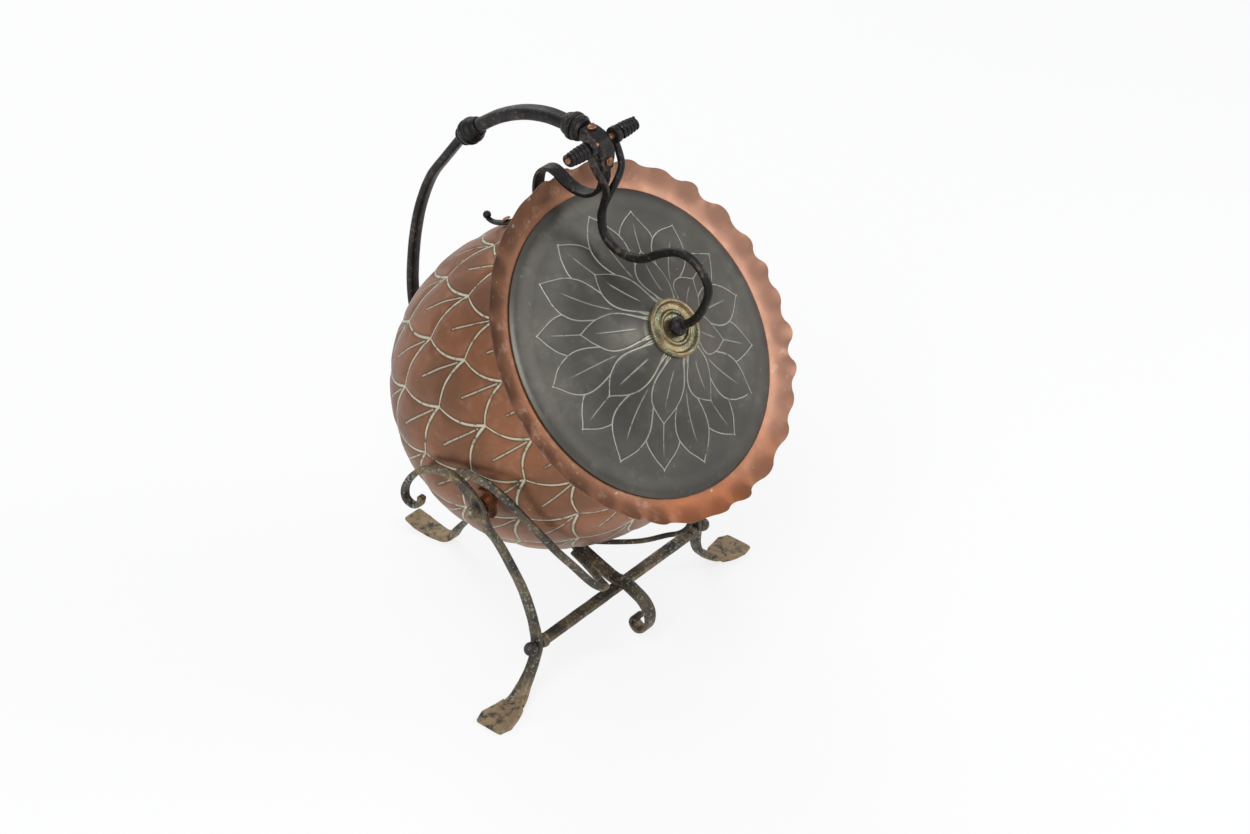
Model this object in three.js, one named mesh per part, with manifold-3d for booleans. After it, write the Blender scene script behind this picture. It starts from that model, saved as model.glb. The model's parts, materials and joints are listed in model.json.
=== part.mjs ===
// A copper coal scuttle in the shape of a scaled flower bud, on a wrought-iron tripod.
//
// The bucket hangs on two side pins in the stand and tips forward. Its round lid hangs on a curved
// iron arm from a crossbar in the head of the carrying handle, and swings up and forward.
// Millimetres, +Z up. The mouth faces -Y, and x = 0 is the plane of symmetry.

import * as THREE from 'three'
import { mergeVertices } from 'three/addons/utils/BufferGeometryUtils.js'
import Module from 'manifold-3d'

const wasm = await Module()
wasm.setup()

// ---- Driving dimensions ------------------------------------------------------------------------

const clearance = 0.3 // between pieces that touch
const runningGap = 0.4 // around a pin, on the radius

const mouthHeight = 352 // centre of the lid's seat above the floor
const mouthPitch = 40 // degrees between the mouth's axis and the horizontal

const neckRadius = 124.4
const bellyRadius = 156
const bellyDepth = 125 // from the lid's seat to the widest section
const bucketDepth = 270 // from the lid's seat to the rear pole
const bellyRoundness = 2.6 // exponent of the rear curve, 2 is an ellipse
const bucketDrop = 2 // the bucket's axis lies this far below the lid's
const bucketSheet = 2
const mouthSetback = 2.2 // the bucket's edge behind the lid's seat

const rimRadius = 169
const rimRise = 7 // the rim's edge in front of the lid's seat
const rimSheet = 1.6
const rimSleeveLength = 18
const ruffles = 30
const ruffleDepth = 3

const lidRadius = 145
const lidSheet = 1.8
const lidCrown = 45.5 // height of the lid's middle
const crownRadius = 30
const studRadius = 4
const bossRadius = 27.5

const hingeY = 47.2
const hingeZ = 541
const hingePinRadius = 3
const finialTip = 47.5 // from the middle plane
const finialRadius = 8
const tineSpread = 16.8
const eyeRadius = 8
const eyeWidth = 6.5
const armRadius = 4
const tineRadius = 3.3
const knobRadius = 9
const knobHeight = 53 // above the lid's seat

const gripWidth = 16.5
const gripDepth = 13
const rearBarWidth = 12.5
const rearBarDepth = 8.5
const collarRadius = 12.6
const frontCollarLength = 21
const rearCollarLength = 30
const headWidth = 20
const headRise = 6.2 // from the head's middle line to its top face
const headFront = 4.8 // from the head's middle line to its front face
const strapWidth = 13.5
const strapSheet = 4.2
const footWidth = 18
const footSheet = 5

const pivotY = 56
const pivotZ = 230
const pivotRadius = 3.5
const pivotBallRadius = 6.3
const rosetteRadius = 14.5
const rosetteSheet = 2.4
const hubRadius = 7
const legSheet = 6
const flankGap = 2.6 // between the belly and the legs' inner faces

const stretcherY = 28.4
const stretcherZ = 59
const stretcherWidth = 12
const stretcherSheet = 6
const legStation = 118 // half the distance between the legs at the stretcher
const tenonRadius = 3
const ballRadius = 7
const centreBarWidth = 14
const centreBarSheet = 5
const loopWidth = 7.5
const loopSheet = 5

// ---- Directions and places ---------------------------------------------------------------------

const V = (x, y, z) => new THREE.Vector3(x, y, z)
const pitch = THREE.MathUtils.degToRad(mouthPitch)
const across = V(1, 0, 0)
const mouthAxis = V(0, -Math.cos(pitch), Math.sin(pitch))
const mouthUp = V(0, Math.sin(pitch), Math.cos(pitch))
const seat = V(0, 0, mouthHeight)
const hinge = V(0, hingeY, hingeZ)
const pivot = V(0, pivotY, pivotZ)

/** A place measured from the lid's seat: forward along the mouth's axis, then up the mouth. */
const fromSeat = (forward, up, side = 0) =>
  seat.clone().addScaledVector(mouthAxis, forward).addScaledVector(mouthUp, up).setX(side)

/** The bucket's outer radius at a depth behind the lid's seat. */
function bucketRadius(depth) {
  if (depth <= bellyDepth) {
    const part = Math.sin((Math.PI / 2) * Math.max(depth, 0) / bellyDepth)
    return neckRadius + (bellyRadius - neckRadius) * part ** 1.1
  }
  const part = Math.min((depth - bellyDepth) / (bucketDepth - bellyDepth), 1)
  return bellyRadius * (1 - part ** bellyRoundness) ** (1 / bellyRoundness)
}

/** A place on the bucket's top line, raised off the sheet. */
const onBucketTop = (depth, raise) => fromSeat(-depth, bucketRadius(depth) - bucketDrop + raise)

/** Half the bucket's width at a place in the side view. */
function bucketHalfWidth(y, z) {
  const offset = V(0, y, z).sub(seat)
  const depth = -offset.dot(mouthAxis)
  const height = offset.dot(mouthUp) + bucketDrop
  return Math.sqrt(Math.max(bucketRadius(depth) ** 2 - height ** 2, 0))
}

// ---- Finishes ----------------------------------------------------------------------------------

const finish = (color, roughness, metalness) => new THREE.MeshStandardMaterial({ color, roughness, metalness })
const copper = finish(0x965a3c, 0.45, 0.9)
const rimCopper = finish(0xa8643f, 0.45, 0.9)
const bronze = finish(0x4b4b46, 0.5, 0.8)
const brass = finish(0x967346, 0.45, 0.9)
const blackIron = finish(0x23201e, 0.6, 0.7)
const wornIron = finish(0x5a5446, 0.7, 0.6)
const rivetCopper = finish(0xb46e3c, 0.4, 0.9)

// ---- Solids ------------------------------------------------------------------------------------

/** Turns every face outwards. */
function outward(geometry) {
  const place = geometry.attributes.position
  const index = geometry.index
  const [a, b, c] = [V(), V(), V()]
  let volume = 0
  for (let i = 0; i < index.count; i += 3) {
    a.fromBufferAttribute(place, index.getX(i))
    b.fromBufferAttribute(place, index.getX(i + 1))
    c.fromBufferAttribute(place, index.getX(i + 2))
    volume += a.dot(b.cross(c))
  }
  if (volume < 0) {
    for (let i = 0; i < index.count; i += 3) {
      const first = index.getX(i)
      index.setX(i, index.getX(i + 1))
      index.setX(i + 1, first)
    }
  }
  return geometry
}

/** Keeps only places and merges shared vertices. */
function bare(geometry) {
  const copy = geometry.clone()
  copy.deleteAttribute('normal')
  copy.deleteAttribute('uv')
  return outward(mergeVertices(copy, 1e-4))
}

function toSolid(geometry) {
  const closed = bare(geometry)
  const mesh = new wasm.Mesh({
    numProp: 3,
    vertProperties: new Float32Array(closed.attributes.position.array),
    triVerts: new Uint32Array(closed.index.array),
  })
  return new wasm.Manifold(mesh)
}

function toGeometry(solid) {
  const mesh = solid.getMesh()
  const geometry = new THREE.BufferGeometry()
  geometry.setAttribute('position', new THREE.BufferAttribute(mesh.vertProperties.slice(), 3))
  geometry.setIndex(new THREE.BufferAttribute(mesh.triVerts.slice(), 1))
  return geometry
}

const joined = (...geometries) => toGeometry(geometries.map(toSolid).reduce((sum, next) => sum.add(next)))
const cut = (geometry, ...tools) =>
  toGeometry(tools.map(toSolid).reduce((rest, tool) => rest.subtract(tool), toSolid(geometry)))

/** The same shape on the other side of the middle plane. */
const mirrored = (geometry) => bare(geometry.clone().scale(-1, 1, 1))

/** Places a shape made around +Y so that its axis runs from a point in a direction. */
function alongAxis(geometry, start, direction) {
  const turn = new THREE.Quaternion().setFromUnitVectors(V(0, 1, 0), direction.clone().normalize())
  return geometry.applyQuaternion(turn).translate(start.x, start.y, start.z)
}

/** A turned piece: its profile is [radius, height] pairs along the axis. */
function turned(profile, segments, start, direction) {
  const points = profile.map(([radius, height]) => new THREE.Vector2(radius, height))
  return bare(alongAxis(new THREE.LatheGeometry(points, segments), start, direction))
}

/** A plain round rod between two heights on an axis. */
const rod = (radius, from, to, start, direction, segments = 12) =>
  turned([[0, from], [radius, from], [radius, to], [0, to]], segments, start, direction)

/** A ring with a bore, as a turned piece whose profile closes on itself. */
const ring = (outer, inner, from, to, start, direction, segments = 24) =>
  turned([[inner, from], [outer, from], [outer, to], [inner, to], [inner, from]], segments, start, direction)

const roundSection = (sides) =>
  Array.from({ length: sides }, (_, i) => {
    const angle = ((i + 0.5) / sides) * 2 * Math.PI
    return [Math.cos(angle), Math.sin(angle)]
  })
const flatSection = [[1, -0.55], [1, 0.55], [0.78, 1], [-0.78, 1], [-1, 0.55], [-1, -0.55], [-0.78, -1], [0.78, -1]]
const plainSection = [[1, -1], [1, 1], [-1, 1], [-1, -1]]

const mix = (list, t) => {
  const place = t * (list.length - 1)
  const low = Math.min(Math.floor(place), list.length - 2)
  return THREE.MathUtils.lerp(list[low], list[low + 1], place - low)
}

/**
 * A closed bar along a smooth path.
 * widths and depths are full sizes at the path's points, or one number.
 * widthAxis gives the direction of the width for a tangent.
 */
function bar({ points, widths, depths, widthAxis = () => across, section = flatSection, stepsEach = 1 }) {
  const path = new THREE.CatmullRomCurve3(points)
  const steps = (points.length - 1) * stepsEach
  const sizes = (value) => (Array.isArray(value) ? value : [value, value])
  const positions = []
  for (let i = 0; i <= steps; i++) {
    const t = i / steps
    const centre = path.getPoint(t)
    const tangent = path.getTangent(t)
    const wide = widthAxis(tangent).clone()
    wide.addScaledVector(tangent, -wide.dot(tangent)).normalize()
    const deep = tangent.clone().cross(wide)
    const halfWidth = mix(sizes(widths), t) / 2
    const halfDepth = mix(sizes(depths), t) / 2
    for (const [w, d] of section) {
      const corner = centre.clone().addScaledVector(wide, w * halfWidth).addScaledVector(deep, d * halfDepth)
      positions.push(corner.x, corner.y, corner.z)
    }
  }
  const ends = [path.getPoint(0), path.getPoint(1)]
  ends.forEach((end) => positions.push(end.x, end.y, end.z))
  const sides = section.length
  const firstEnd = (steps + 1) * sides
  const faces = []
  for (let j = 0; j < sides; j++) {
    const next = (j + 1) % sides
    for (let i = 0; i < steps; i++) {
      const [a, b] = [i * sides + j, i * sides + next]
      faces.push(a, b, b + sides, a, b + sides, a + sides)
    }
    faces.push(firstEnd, next, j)
    faces.push(firstEnd + 1, steps * sides + j, steps * sides + next)
  }
  const geometry = new THREE.BufferGeometry()
  geometry.setAttribute('position', new THREE.Float32BufferAttribute(positions, 3))
  geometry.setIndex(faces)
  return outward(geometry)
}

/** A dome-headed rivet: its seat is at start and its shank runs against the direction. */
function rivet(start, direction, headRadius, headHeight, shankRadius, shankLength) {
  const head = [0, 45].map((angle) => {
    const turn = THREE.MathUtils.degToRad(angle)
    return [headRadius * Math.cos(turn), headHeight * Math.sin(turn)]
  })
  const profile = [[0, -shankLength], [shankRadius, -shankLength], [shankRadius, 0], ...head, [0, headHeight]]
  return turned(profile, 10, start, direction)
}

/** A six-sided nut with room for its bolt. */
const nut = (outer, boltRadius, from, to, start, direction) =>
  ring(outer, (boltRadius + clearance) / Math.cos(Math.PI / 6), from, to, start, direction, 6)

const copies = (side, geometry) => (side === 'left' ? geometry : mirrored(geometry))

// ---- The bucket's shell and rim ----------------------------------------------------------------

const bucketAxisStart = fromSeat(0, -bucketDrop)
const rearward = mouthAxis.clone().negate()

function bucketProfile() {
  const outer = []
  const frontSteps = 4
  for (let i = 0; i < frontSteps; i++) {
    const depth = THREE.MathUtils.lerp(mouthSetback, bellyDepth, i / frontSteps)
    outer.push([bucketRadius(depth), depth])
  }
  const rearSteps = 7
  for (let i = 0; i <= rearSteps; i++) {
    const turn = (Math.PI / 2) * (i / rearSteps)
    const power = 2 / bellyRoundness
    const depth = bellyDepth + (bucketDepth - bellyDepth) * Math.sin(turn) ** power
    outer.push([i === rearSteps ? 0 : bellyRadius * Math.cos(turn) ** power, depth])
  }
  return outer
}

/** The profile moved inwards by the sheet. */
function innerProfile(outer) {
  return outer.map(([radius, depth], i) => {
    if (i === 0) return [radius - bucketSheet, depth]
    if (i === outer.length - 1) return [0, depth - bucketSheet]
    const [before, after] = [outer[i - 1], outer[i + 1]]
    const run = [after[0] - before[0], after[1] - before[1]]
    const length = Math.hypot(...run)
    return [radius - (bucketSheet * run[1]) / length, depth + (bucketSheet * run[0]) / length]
  })
}

function bucketShell() {
  const outer = bucketProfile()
  const profile = [...outer.slice().reverse(), ...innerProfile(outer)]
  return turned(profile, 36, bucketAxisStart, rearward)
}

/** A flared collar with an uneven ruffled edge. */
function frilledRim() {
  const sleeve = bucketRadius(mouthSetback) - bucketSheet - bucketDrop - clearance - 0.2
  const floor = -clearance
  const rear = floor - rimSheet
  const front = [[sleeve - rimSheet, -rimSleeveLength], [sleeve - rimSheet, -2], [sleeve + 2, floor],
    [lidRadius + 2, floor], [lidRadius + 12, floor + 0.32 * rimRise], [rimRadius, rimRise]]
  const back = [[rimRadius, rimRise - rimSheet], [lidRadius + 12, floor + 0.32 * rimRise - rimSheet],
    [lidRadius + 2, rear], [sleeve, rear], [sleeve, -rimSleeveLength]]
  const loop = [...front, ...back]
  const stations = ruffles * 3
  const positions = []
  for (let i = 0; i < stations; i++) {
    const angle = (i / stations) * 2 * Math.PI
    const uneven = 0.4 * Math.sin(3 * angle + 1) + 0.3 * Math.sin(5 * angle)
    const wave = Math.sin(ruffles * angle + uneven - Math.PI / 2) * (1 + 0.25 * Math.sin(7 * angle))
    for (const [radius, forward] of loop) {
      const flare = Math.max((radius - lidRadius - 2) / (rimRadius - lidRadius - 2), 0) ** 2
      const r = radius + 1.2 * flare * wave
      const f = forward + ruffleDepth * flare * wave
      const place = fromSeat(f, r * Math.cos(angle), r * Math.sin(angle))
      positions.push(place.x, place.y, place.z)
    }
  }
  const size = loop.length
  const faces = []
  for (let i = 0; i < stations; i++) {
    for (let j = 0; j < size; j++) {
      const [a, b] = [i * size + j, i * size + ((j + 1) % size)]
      const [c, d] = [(a + size) % (stations * size), (b + size) % (stations * size)]
      faces.push(a, b, d, a, d, c)
    }
  }
  const geometry = new THREE.BufferGeometry()
  geometry.setAttribute('position', new THREE.Float32BufferAttribute(positions, 3))
  geometry.setIndex(faces)
  return outward(geometry)
}

// ---- The lid and its arm -----------------------------------------------------------------------

const crownUnder = lidCrown - lidSheet

function lidDisc() {
  const span = lidRadius - crownRadius
  const dome = [[0, 0.945], [0.04, 0.88], [0.15, 0.68], [0.32, 0.45], [0.55, 0.27], [0.82, 0.15], [0.96, 0.09], [1, 0.03]]
  const outer = dome.map(([run, rise]) => [crownRadius + span * run, lidCrown * rise])
  const under = dome.slice(0, -1).map(([run, rise]) => [crownRadius + (span - 1.5) * run, lidCrown * rise - lidSheet])
  const hole = studRadius + runningGap
  const profile = [[hole, crownUnder], [hole, lidCrown], [crownRadius - 2, lidCrown], ...outer, [lidRadius, 0],
    [lidRadius - lidSheet, 0], ...under.reverse(), [crownRadius - 2.4, crownUnder], [hole, crownUnder]]
  return turned(profile, 36, seat, mouthAxis)
}

function bossRing() {
  const base = lidCrown + clearance
  const bore = studRadius + runningGap
  const profile = [[bore, base], [bossRadius, base], [bossRadius, base + 4], [bossRadius - 1.5, base + 5.2],
    [bossRadius - 3.5, base + 5.2], [bossRadius - 5, base + 2.2], [17.2, base + 2.2], [16, base + 4.4],
    [14, base + 4.4], [13, base + 2.2], [bore, base + 2.2], [bore, base]]
  return turned(profile, 20, seat, mouthAxis)
}

function lidArm() {
  const tinePath = [V(tineSpread, hingeY - 0.5, hingeZ - eyeRadius + 1.5), V(tineSpread, 42.5, 526), V(14.5, 37.5, 515),
    V(8.5, 37, 504), V(3.5, 40, 493), V(1, 44.5, 481), V(0, 47.3, 472)]
  const tine = bar({ points: tinePath, widths: tineRadius * 2, depths: tineRadius * 2, section: roundSection(6) })
  const eye = ring(eyeRadius, hingePinRadius + runningGap, -eyeWidth / 2, eyeWidth / 2,
    V(tineSpread, hingeY, hingeZ), across, 12)
  const knobCentre = fromSeat(knobHeight, 0)
  const armPath = [V(0, 45.8, 477), V(0, 48.2, 466.5), V(0, 46.3, 450.5), V(0, 37, 439.8), V(0, 20.3, 435.6),
    V(0, 1.6, 439.4), V(0, -20.9, 453.9), V(0, -39.1, 462.1), V(0, -55.2, 461.3), V(0, -69.4, 450.6),
    V(0, -74.7, 436.3), V(0, -70.9, 421.5), V(0, -64.5, 408.5), V(0, -56.5, 398), knobCentre]
  const size = armPath.map(() => armRadius * 2)
  size[0] = tineRadius * 2
  const arm = bar({ points: armPath, widths: size, depths: size, section: roundSection(8) })
  const knob = turned([[0, -4.5], [6, -4.5], [knobRadius, -1.5], [knobRadius, 2], [6.4, 6.4], [0, 8.5]], 14, knobCentre,
    mouthAxis)
  const stud = rod(studRadius, crownUnder - 12, knobHeight, seat, mouthAxis)
  return joined(arm, tine, mirrored(tine), eye, mirrored(eye), knob, stud)
}

// ---- The handle --------------------------------------------------------------------------------

const gripPath = [V(0, 88.9, 545.7), V(0, 111, 544.9), V(0, 136.9, 538.5), V(0, 166.2, 524.6), V(0, 192.9, 505.9)]
const rearCollarCentre = V(0, 205.2, 494.7)
const rearCollarAxis = V(0, 0.735, -0.678)
const footOnPole = (up) => fromSeat(-(bucketDepth + clearance + footSheet / 2), up - bucketDrop)
const rearBarPath = [V(0, 216.9, 483.9), V(0, 240, 453.3), V(0, 257.1, 429.7), V(0, 273.3, 393.2), V(0, 282.8, 358.5),
  V(0, 288.2, 325.3), V(0, 290.6, 296), V(0, 289, 272), V(0, 281.5, 250), V(0, 267.5, 233), V(0, 252, 220.5),
  V(0, 239.5, 211), footOnPole(33), footOnPole(16), footOnPole(0), footOnPole(-14)]

function rearBar() {
  const widths = rearBarPath.map((_, i) => (i < 9 ? rearBarWidth : [13, 13.5, 14, 15.5, 18, 18, 12][i - 9] * (footWidth / 18)))
  const depths = rearBarPath.map((_, i) => (i < 10 ? rearBarDepth : [7.5, 6.5, footSheet, footSheet, footSheet, 4][i - 10]))
  return bar({ points: rearBarPath, widths, depths })
}

function grip() {
  const widths = [gripWidth - 1, gripWidth, gripWidth, gripWidth, gripWidth - 2]
  return bar({ points: gripPath, widths, depths: gripDepth, stepsEach: 3 })
}

function rearCollar() {
  const half = rearCollarLength / 2
  const profile = [[0, -half], [7.5, -half], [9.8, -11.5], [9, -9], [collarRadius - 0.6, -5.5], [collarRadius, 0],
    [collarRadius - 0.6, 5.5], [9.4, 9], [10, 11.5], [8, half], [0, half]]
  return turned(profile, 14, rearCollarCentre, rearCollarAxis)
}

function frontCollar() {
  const profile = [[0, 0], [9.5, 0], [10.5, 3.5], [12, 4], [12, 7.5], [10.8, 8.2], [collarRadius + 0.4, 9],
    [collarRadius + 0.4, 13.5], [11, 14.5], [11, 17], [9.5, frontCollarLength], [0, frontCollarLength]]
  return turned(profile, 14, V(0, 67.4, 545.2), V(0, 1, 0.02))
}

const headPath = [V(0, 66.3, 544.6), V(0, 58, 543.4), V(0, 49.5, 538.8), V(0, 44.4, 529.5), V(0, 43.8, 514.5)]

function handleHead() {
  const depths = [13, 2 * headRise, 13, 2 * headFront, 7]
  const head = bar({ points: headPath, widths: [19, headWidth, headWidth, headWidth, 16], depths, stepsEach: 3 })
  return cut(head, rod(hingePinRadius + clearance, -headWidth, headWidth, hinge, across))
}

/** A cone wound from iron wire, in rising turns. */
function spiralFinial() {
  const start = tineSpread + eyeWidth / 2 + clearance
  const turns = 5
  const length = finialTip - start
  const bore = hingePinRadius + clearance
  const profile = [[bore, 0]]
  for (let i = 0; i < turns; i++) {
    const radius = THREE.MathUtils.lerp(finialRadius, bore + 1.5, i / (turns - 1))
    const from = (length * i) / turns
    const to = (length * (i + 1)) / turns
    profile.push([radius - 0.8, from + 0.05], [radius, (from + to) / 2], [radius - 0.9, to - 0.05])
  }
  profile.push([bore, length], [bore, 0])
  return turned(profile, 12, V(start, hingeY, hingeZ), across)
}

const headRivetSeats = [
  { place: V(0, 59.5, 544.4 + headRise + 2 * clearance), out: V(0, 0.09, 1) },
  { place: V(0, 44.1 - headFront - 2 * clearance, 524), out: V(0, -1, 0.03) },
]

const strapRaise = clearance + 3.6 / 2 + 0.7
const strapPath = [V(0, 44.3, 513.8), V(0, 45, 503), V(0, 50.5, 491), V(0, 62, 483.3), V(0, 76, 481.8),
  V(0, 88.5, 485.2), V(0, 98, 490.8), V(0, 106.5, 493), V(0, 115, 490), V(0, 121, 482), V(0, 123.6, 470),
  V(0, 123.8, 456), V(0, 125.8, 443), onBucketTop(54, strapRaise), onBucketTop(66, strapRaise),
  onBucketTop(80, strapRaise), onBucketTop(92, strapRaise + 0.5), onBucketTop(103, strapRaise + 4),
  onBucketTop(108, strapRaise + 9.5)]
const tailBall = strapPath.at(-1).clone().add(V(0, -0.5, 3))

function scrollStrap() {
  const last = strapPath.length - 1
  const widths = strapPath.map((_, i) => (i < last - 3 ? strapWidth : [10, 7, 4.5, 3.5][i - last + 3]))
  const depths = strapPath.map((_, i) => (i < 12 ? strapSheet : 3.4))
  const strap = bar({ points: strapPath, widths, depths, section: plainSection, stepsEach: 2 })
  return joined(strap, new THREE.IcosahedronGeometry(3.8, 1).translate(...tailBall))
}

// ---- The stand ---------------------------------------------------------------------------------

/** The rosette's face must clear the bucket all round, because the bucket turns behind it. */
function widestNear(radius) {
  const turns = Array.from({ length: 24 }, (_, i) => (i / 24) * 2 * Math.PI)
  return Math.max(...turns.map((a) => bucketHalfWidth(pivotY + radius * Math.cos(a), pivotZ + radius * Math.sin(a))))
}
const hubFace = widestNear(hubRadius) + clearance
const rosetteFace = Math.max(widestNear(rosetteRadius) + 2 * clearance, hubFace + 1)
const legInside = Math.max(rosetteFace + rosetteSheet + clearance, bellyRadius + flankGap)
const legAtPivot = legInside + legSheet / 2

function legPath() {
  const x = -legAtPivot
  const waist = -legStation
  return [V(-189, 29, 2), V(-176, 29, 2.9), V(-160, 29.5, 4), V(-146, 30.5, 7.5), V(-134, 32, 17.5),
    V(-125, 32.5, 28), V(-119.5, 31, 43), V(waist, stretcherY + 1, stretcherZ), V(waist - 1, 31.6, 82),
    V(waist - 8, 36.8, 122), V(waist - 18, 43.5, 157), V(waist - 30, 47.3, 188), V(x + 1.6, 50.5, 212),
    V(x, pivotY + 1, pivotZ), V(x - 1, 68, 243), V(x - 2.5, 80, 252), V(x - 3, 93, 254.2), V(x - 3, 109, 250),
    V(x - 3, 125.8, 241), V(x - 3, 139, 226), V(x - 3, 146.5, 211), V(x - 3, 146, 200), V(x - 3, 138, 196.5),
    V(x - 3, 128.5, 202), V(x - 3, 125.5, 211.5)]
}
/** The leg's width lies in its own side view, square to the path. */
const legWidthAxis = (tangent) => V(0, tangent.z, -tangent.y)

function leg() {
  const points = legPath()
  const widths = [38, 37, 29, 20, 14, 12, 11.5, 13, 11.5, 11, 11, 11.5, 13.5, 17, 13, 8, 6.5, 6, 6, 5.6, 5.4, 5.2, 5.2, 5.6, 6.4]
  const depths = [5, 7, 9, 9, 7.5, 6.6, 6.4, 6.4, 6.4, 6.2, 6, 6, legSheet, legSheet, legSheet, 7.5, 8.5, 9, 9, 9, 8.6, 8.2, 8,
    8, 8]
  const body = bar({ points, widths, depths, widthAxis: legWidthAxis })
  const level = new THREE.BoxGeometry(120, 120, 20).translate(-180, 30, -10)
  return cut(body, level,
    rod(pivotRadius + clearance, -20, 20, V(-legAtPivot, pivotY, pivotZ), across),
    rod(tenonRadius + clearance, -20, 20, V(-legStation, stretcherY, stretcherZ), across))
}

function stretcher() {
  const half = legStation - 9
  const flat = bar({ points: [-half, -40, 40, half].map((x) => V(x, stretcherY, stretcherZ)), widths: stretcherWidth,
    depths: stretcherSheet, widthAxis: () => V(0, 1, 0), stepsEach: 1 })
  const knobAt = legStation - 3.6 - clearance
  const knob = turned([[0, -9.5], [4, -9.5], [6.6, -7], [7.2, -4], [6, 0], [0, 0]], 12,
    V(-knobAt, stretcherY, stretcherZ), V(-1, 0, 0))
  const tenon = rod(tenonRadius, 0, 12.5, V(-knobAt, stretcherY, stretcherZ), V(-1, 0, 0))
  return joined(flat, knob, mirrored(knob), tenon, mirrored(tenon))
}

function stretcherBall() {
  const inner = legStation + 3.6 + clearance
  const centre = V(-(inner + ballRadius - 1.6), stretcherY, stretcherZ)
  const ball = turned([[0, -ballRadius + 1.6], [4.2, -ballRadius + 1.6], [6.2, -3.2], [ballRadius, 0], [6.1, 3.6],
    [3.6, 6.1], [0, ballRadius]], 12, centre, V(-1, 0, 0))
  return cut(ball, rod(tenonRadius + clearance, 3, 9.2, V(-legStation, stretcherY, stretcherZ), V(-1, 0, 0)))
}

const crossingZ = stretcherZ + stretcherSheet / 2 + clearance + centreBarSheet / 2
const centreBarPath = [V(0, 309, 9), V(0, 295, 5), V(0, 278, 2.8), V(0, 263, 3), V(0, 252.5, 8), V(0, 243, 22),
  V(0, 225, 45), V(0, 203, 71), V(0, 183, 95), V(0, 167, 111.5), V(0, 152.5, 118.2), V(0, 137, 111.8), V(0, 120, 101.5),
  V(0, 98, 89), V(0, 76, 79), V(0, 54, 71), V(0, 38, crossingZ + 1), V(0, stretcherY, crossingZ), V(0, 18, crossingZ),
  V(0, 8, crossingZ - 3.5), V(0, -3, 55),
  V(0, -9.5, 46), V(0, -10.5, 34), V(0, -5.5, 23), V(0, 3, 19.5), V(0, 9, 25), V(0, 7, 32.5), V(0, 1, 33)]

function centreBar() {
  const widths = centreBarPath.map((_, i) => [22, 24, 20, 16][i] ?? centreBarWidth)
  const depths = centreBarPath.map((_, i) => [4, 5, 6.5, 7.5, 7, 6][i] ?? (i > 21 ? 4 : centreBarSheet))
  const body = bar({ points: centreBarPath, widths, depths, section: plainSection })
  const level = new THREE.BoxGeometry(80, 120, 20).translate(0, 280, -10)
  return cut(body, level, rod(2.5 + clearance, -12, 12, V(0, stretcherY, crossingZ), V(0, 0, 1)))
}

const loopPath = [V(-legAtPivot, 81, 260.6), V(-legAtPivot + 0.5, 67, 261.3), V(-159.5, 47, 259.8), V(-156, 31, 251),
  V(-147.5, 19.5, 233.5), V(-129, 10.5, 202), V(-111, 6.5, 174), V(-94, 3, 150), V(-80, 0, 129.5), V(-70, -3.5, 116.5),
  V(-61.5, -5.5, 109.5), V(-55, -2, 105.5), V(-48, 9, 101), V(-35, 28.2, 92.6), V(-22, 52.5, 86.5),
  V(-centreBarWidth / 2 - 4, 77, 81.5)]

/** The loop's strip faces up and outwards. */
const loopWidthAxis = (tangent) => V(0.55, -0.6, 0.55).cross(tangent).cross(tangent).negate()

function cradleLoop() {
  const widths = loopPath.map((_, i) => (i === 0 ? 5 : loopWidth))
  return bar({ points: loopPath, widths, depths: loopSheet, widthAxis: loopWidthAxis })
}
function pivotPin() {
  const outerFace = -(legAtPivot + legSheet / 2 + 2 * clearance)
  const inside = bucketHalfWidth(pivotY, pivotZ) - 14
  const ballCentre = V(outerFace, pivotY, pivotZ)
  const ball = turned([[0, 0], [4.5, 0], [6, 3], [pivotBallRadius, 6], [5.4, 9.5], [3.2, 11.8], [0, 12.6]], 14, ballCentre,
    V(-1, 0, 0))
  const shank = rod(pivotRadius, inside, -outerFace + 2, V(0, pivotY, pivotZ), V(-1, 0, 0))
  return joined(ball, shank)
}

function pivotRosette() {
  const bore = pivotRadius + clearance
  const outerFace = rosetteFace + rosetteSheet
  const collar = legInside - 3 * clearance
  const profile = [[bore, hubFace], [hubRadius, hubFace], [hubRadius, rosetteFace], [rosetteRadius, rosetteFace],
    [rosetteRadius, outerFace], [hubRadius + 1, outerFace], [hubRadius + 1, collar], [bore, collar], [bore, hubFace]]
  return turned(profile, 22, V(0, pivotY, pivotZ), V(-1, 0, 0))
}

function pivotNut() {
  const face = narrowestInside(8.5)
  return nut(8.5, pivotRadius, face - 5, face, V(0, pivotY, pivotZ), V(-1, 0, 0))
}

/** The wall's nearest inner face around the pin, as a distance from the middle plane. */
function narrowestInside(radius) {
  const turns = Array.from({ length: 24 }, (_, i) => (i / 24) * 2 * Math.PI)
  const nearest = Math.min(...turns.map((a) => bucketHalfWidth(pivotY + radius * Math.cos(a), pivotZ + radius * Math.sin(a))))
  return nearest - bucketSheet * 1.3 - 2 * clearance
}

// ---- Assembly ----------------------------------------------------------------------------------

const scuttle = new THREE.Group()
const stand = new THREE.Group()
const bucket = new THREE.Group()
const lid = new THREE.Group()
scuttle.add(stand, bucket, lid)

function add(group, name, geometry, material) {
  const mesh = new THREE.Mesh(geometry, material)
  mesh.name = name
  group.add(mesh)
}

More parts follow.
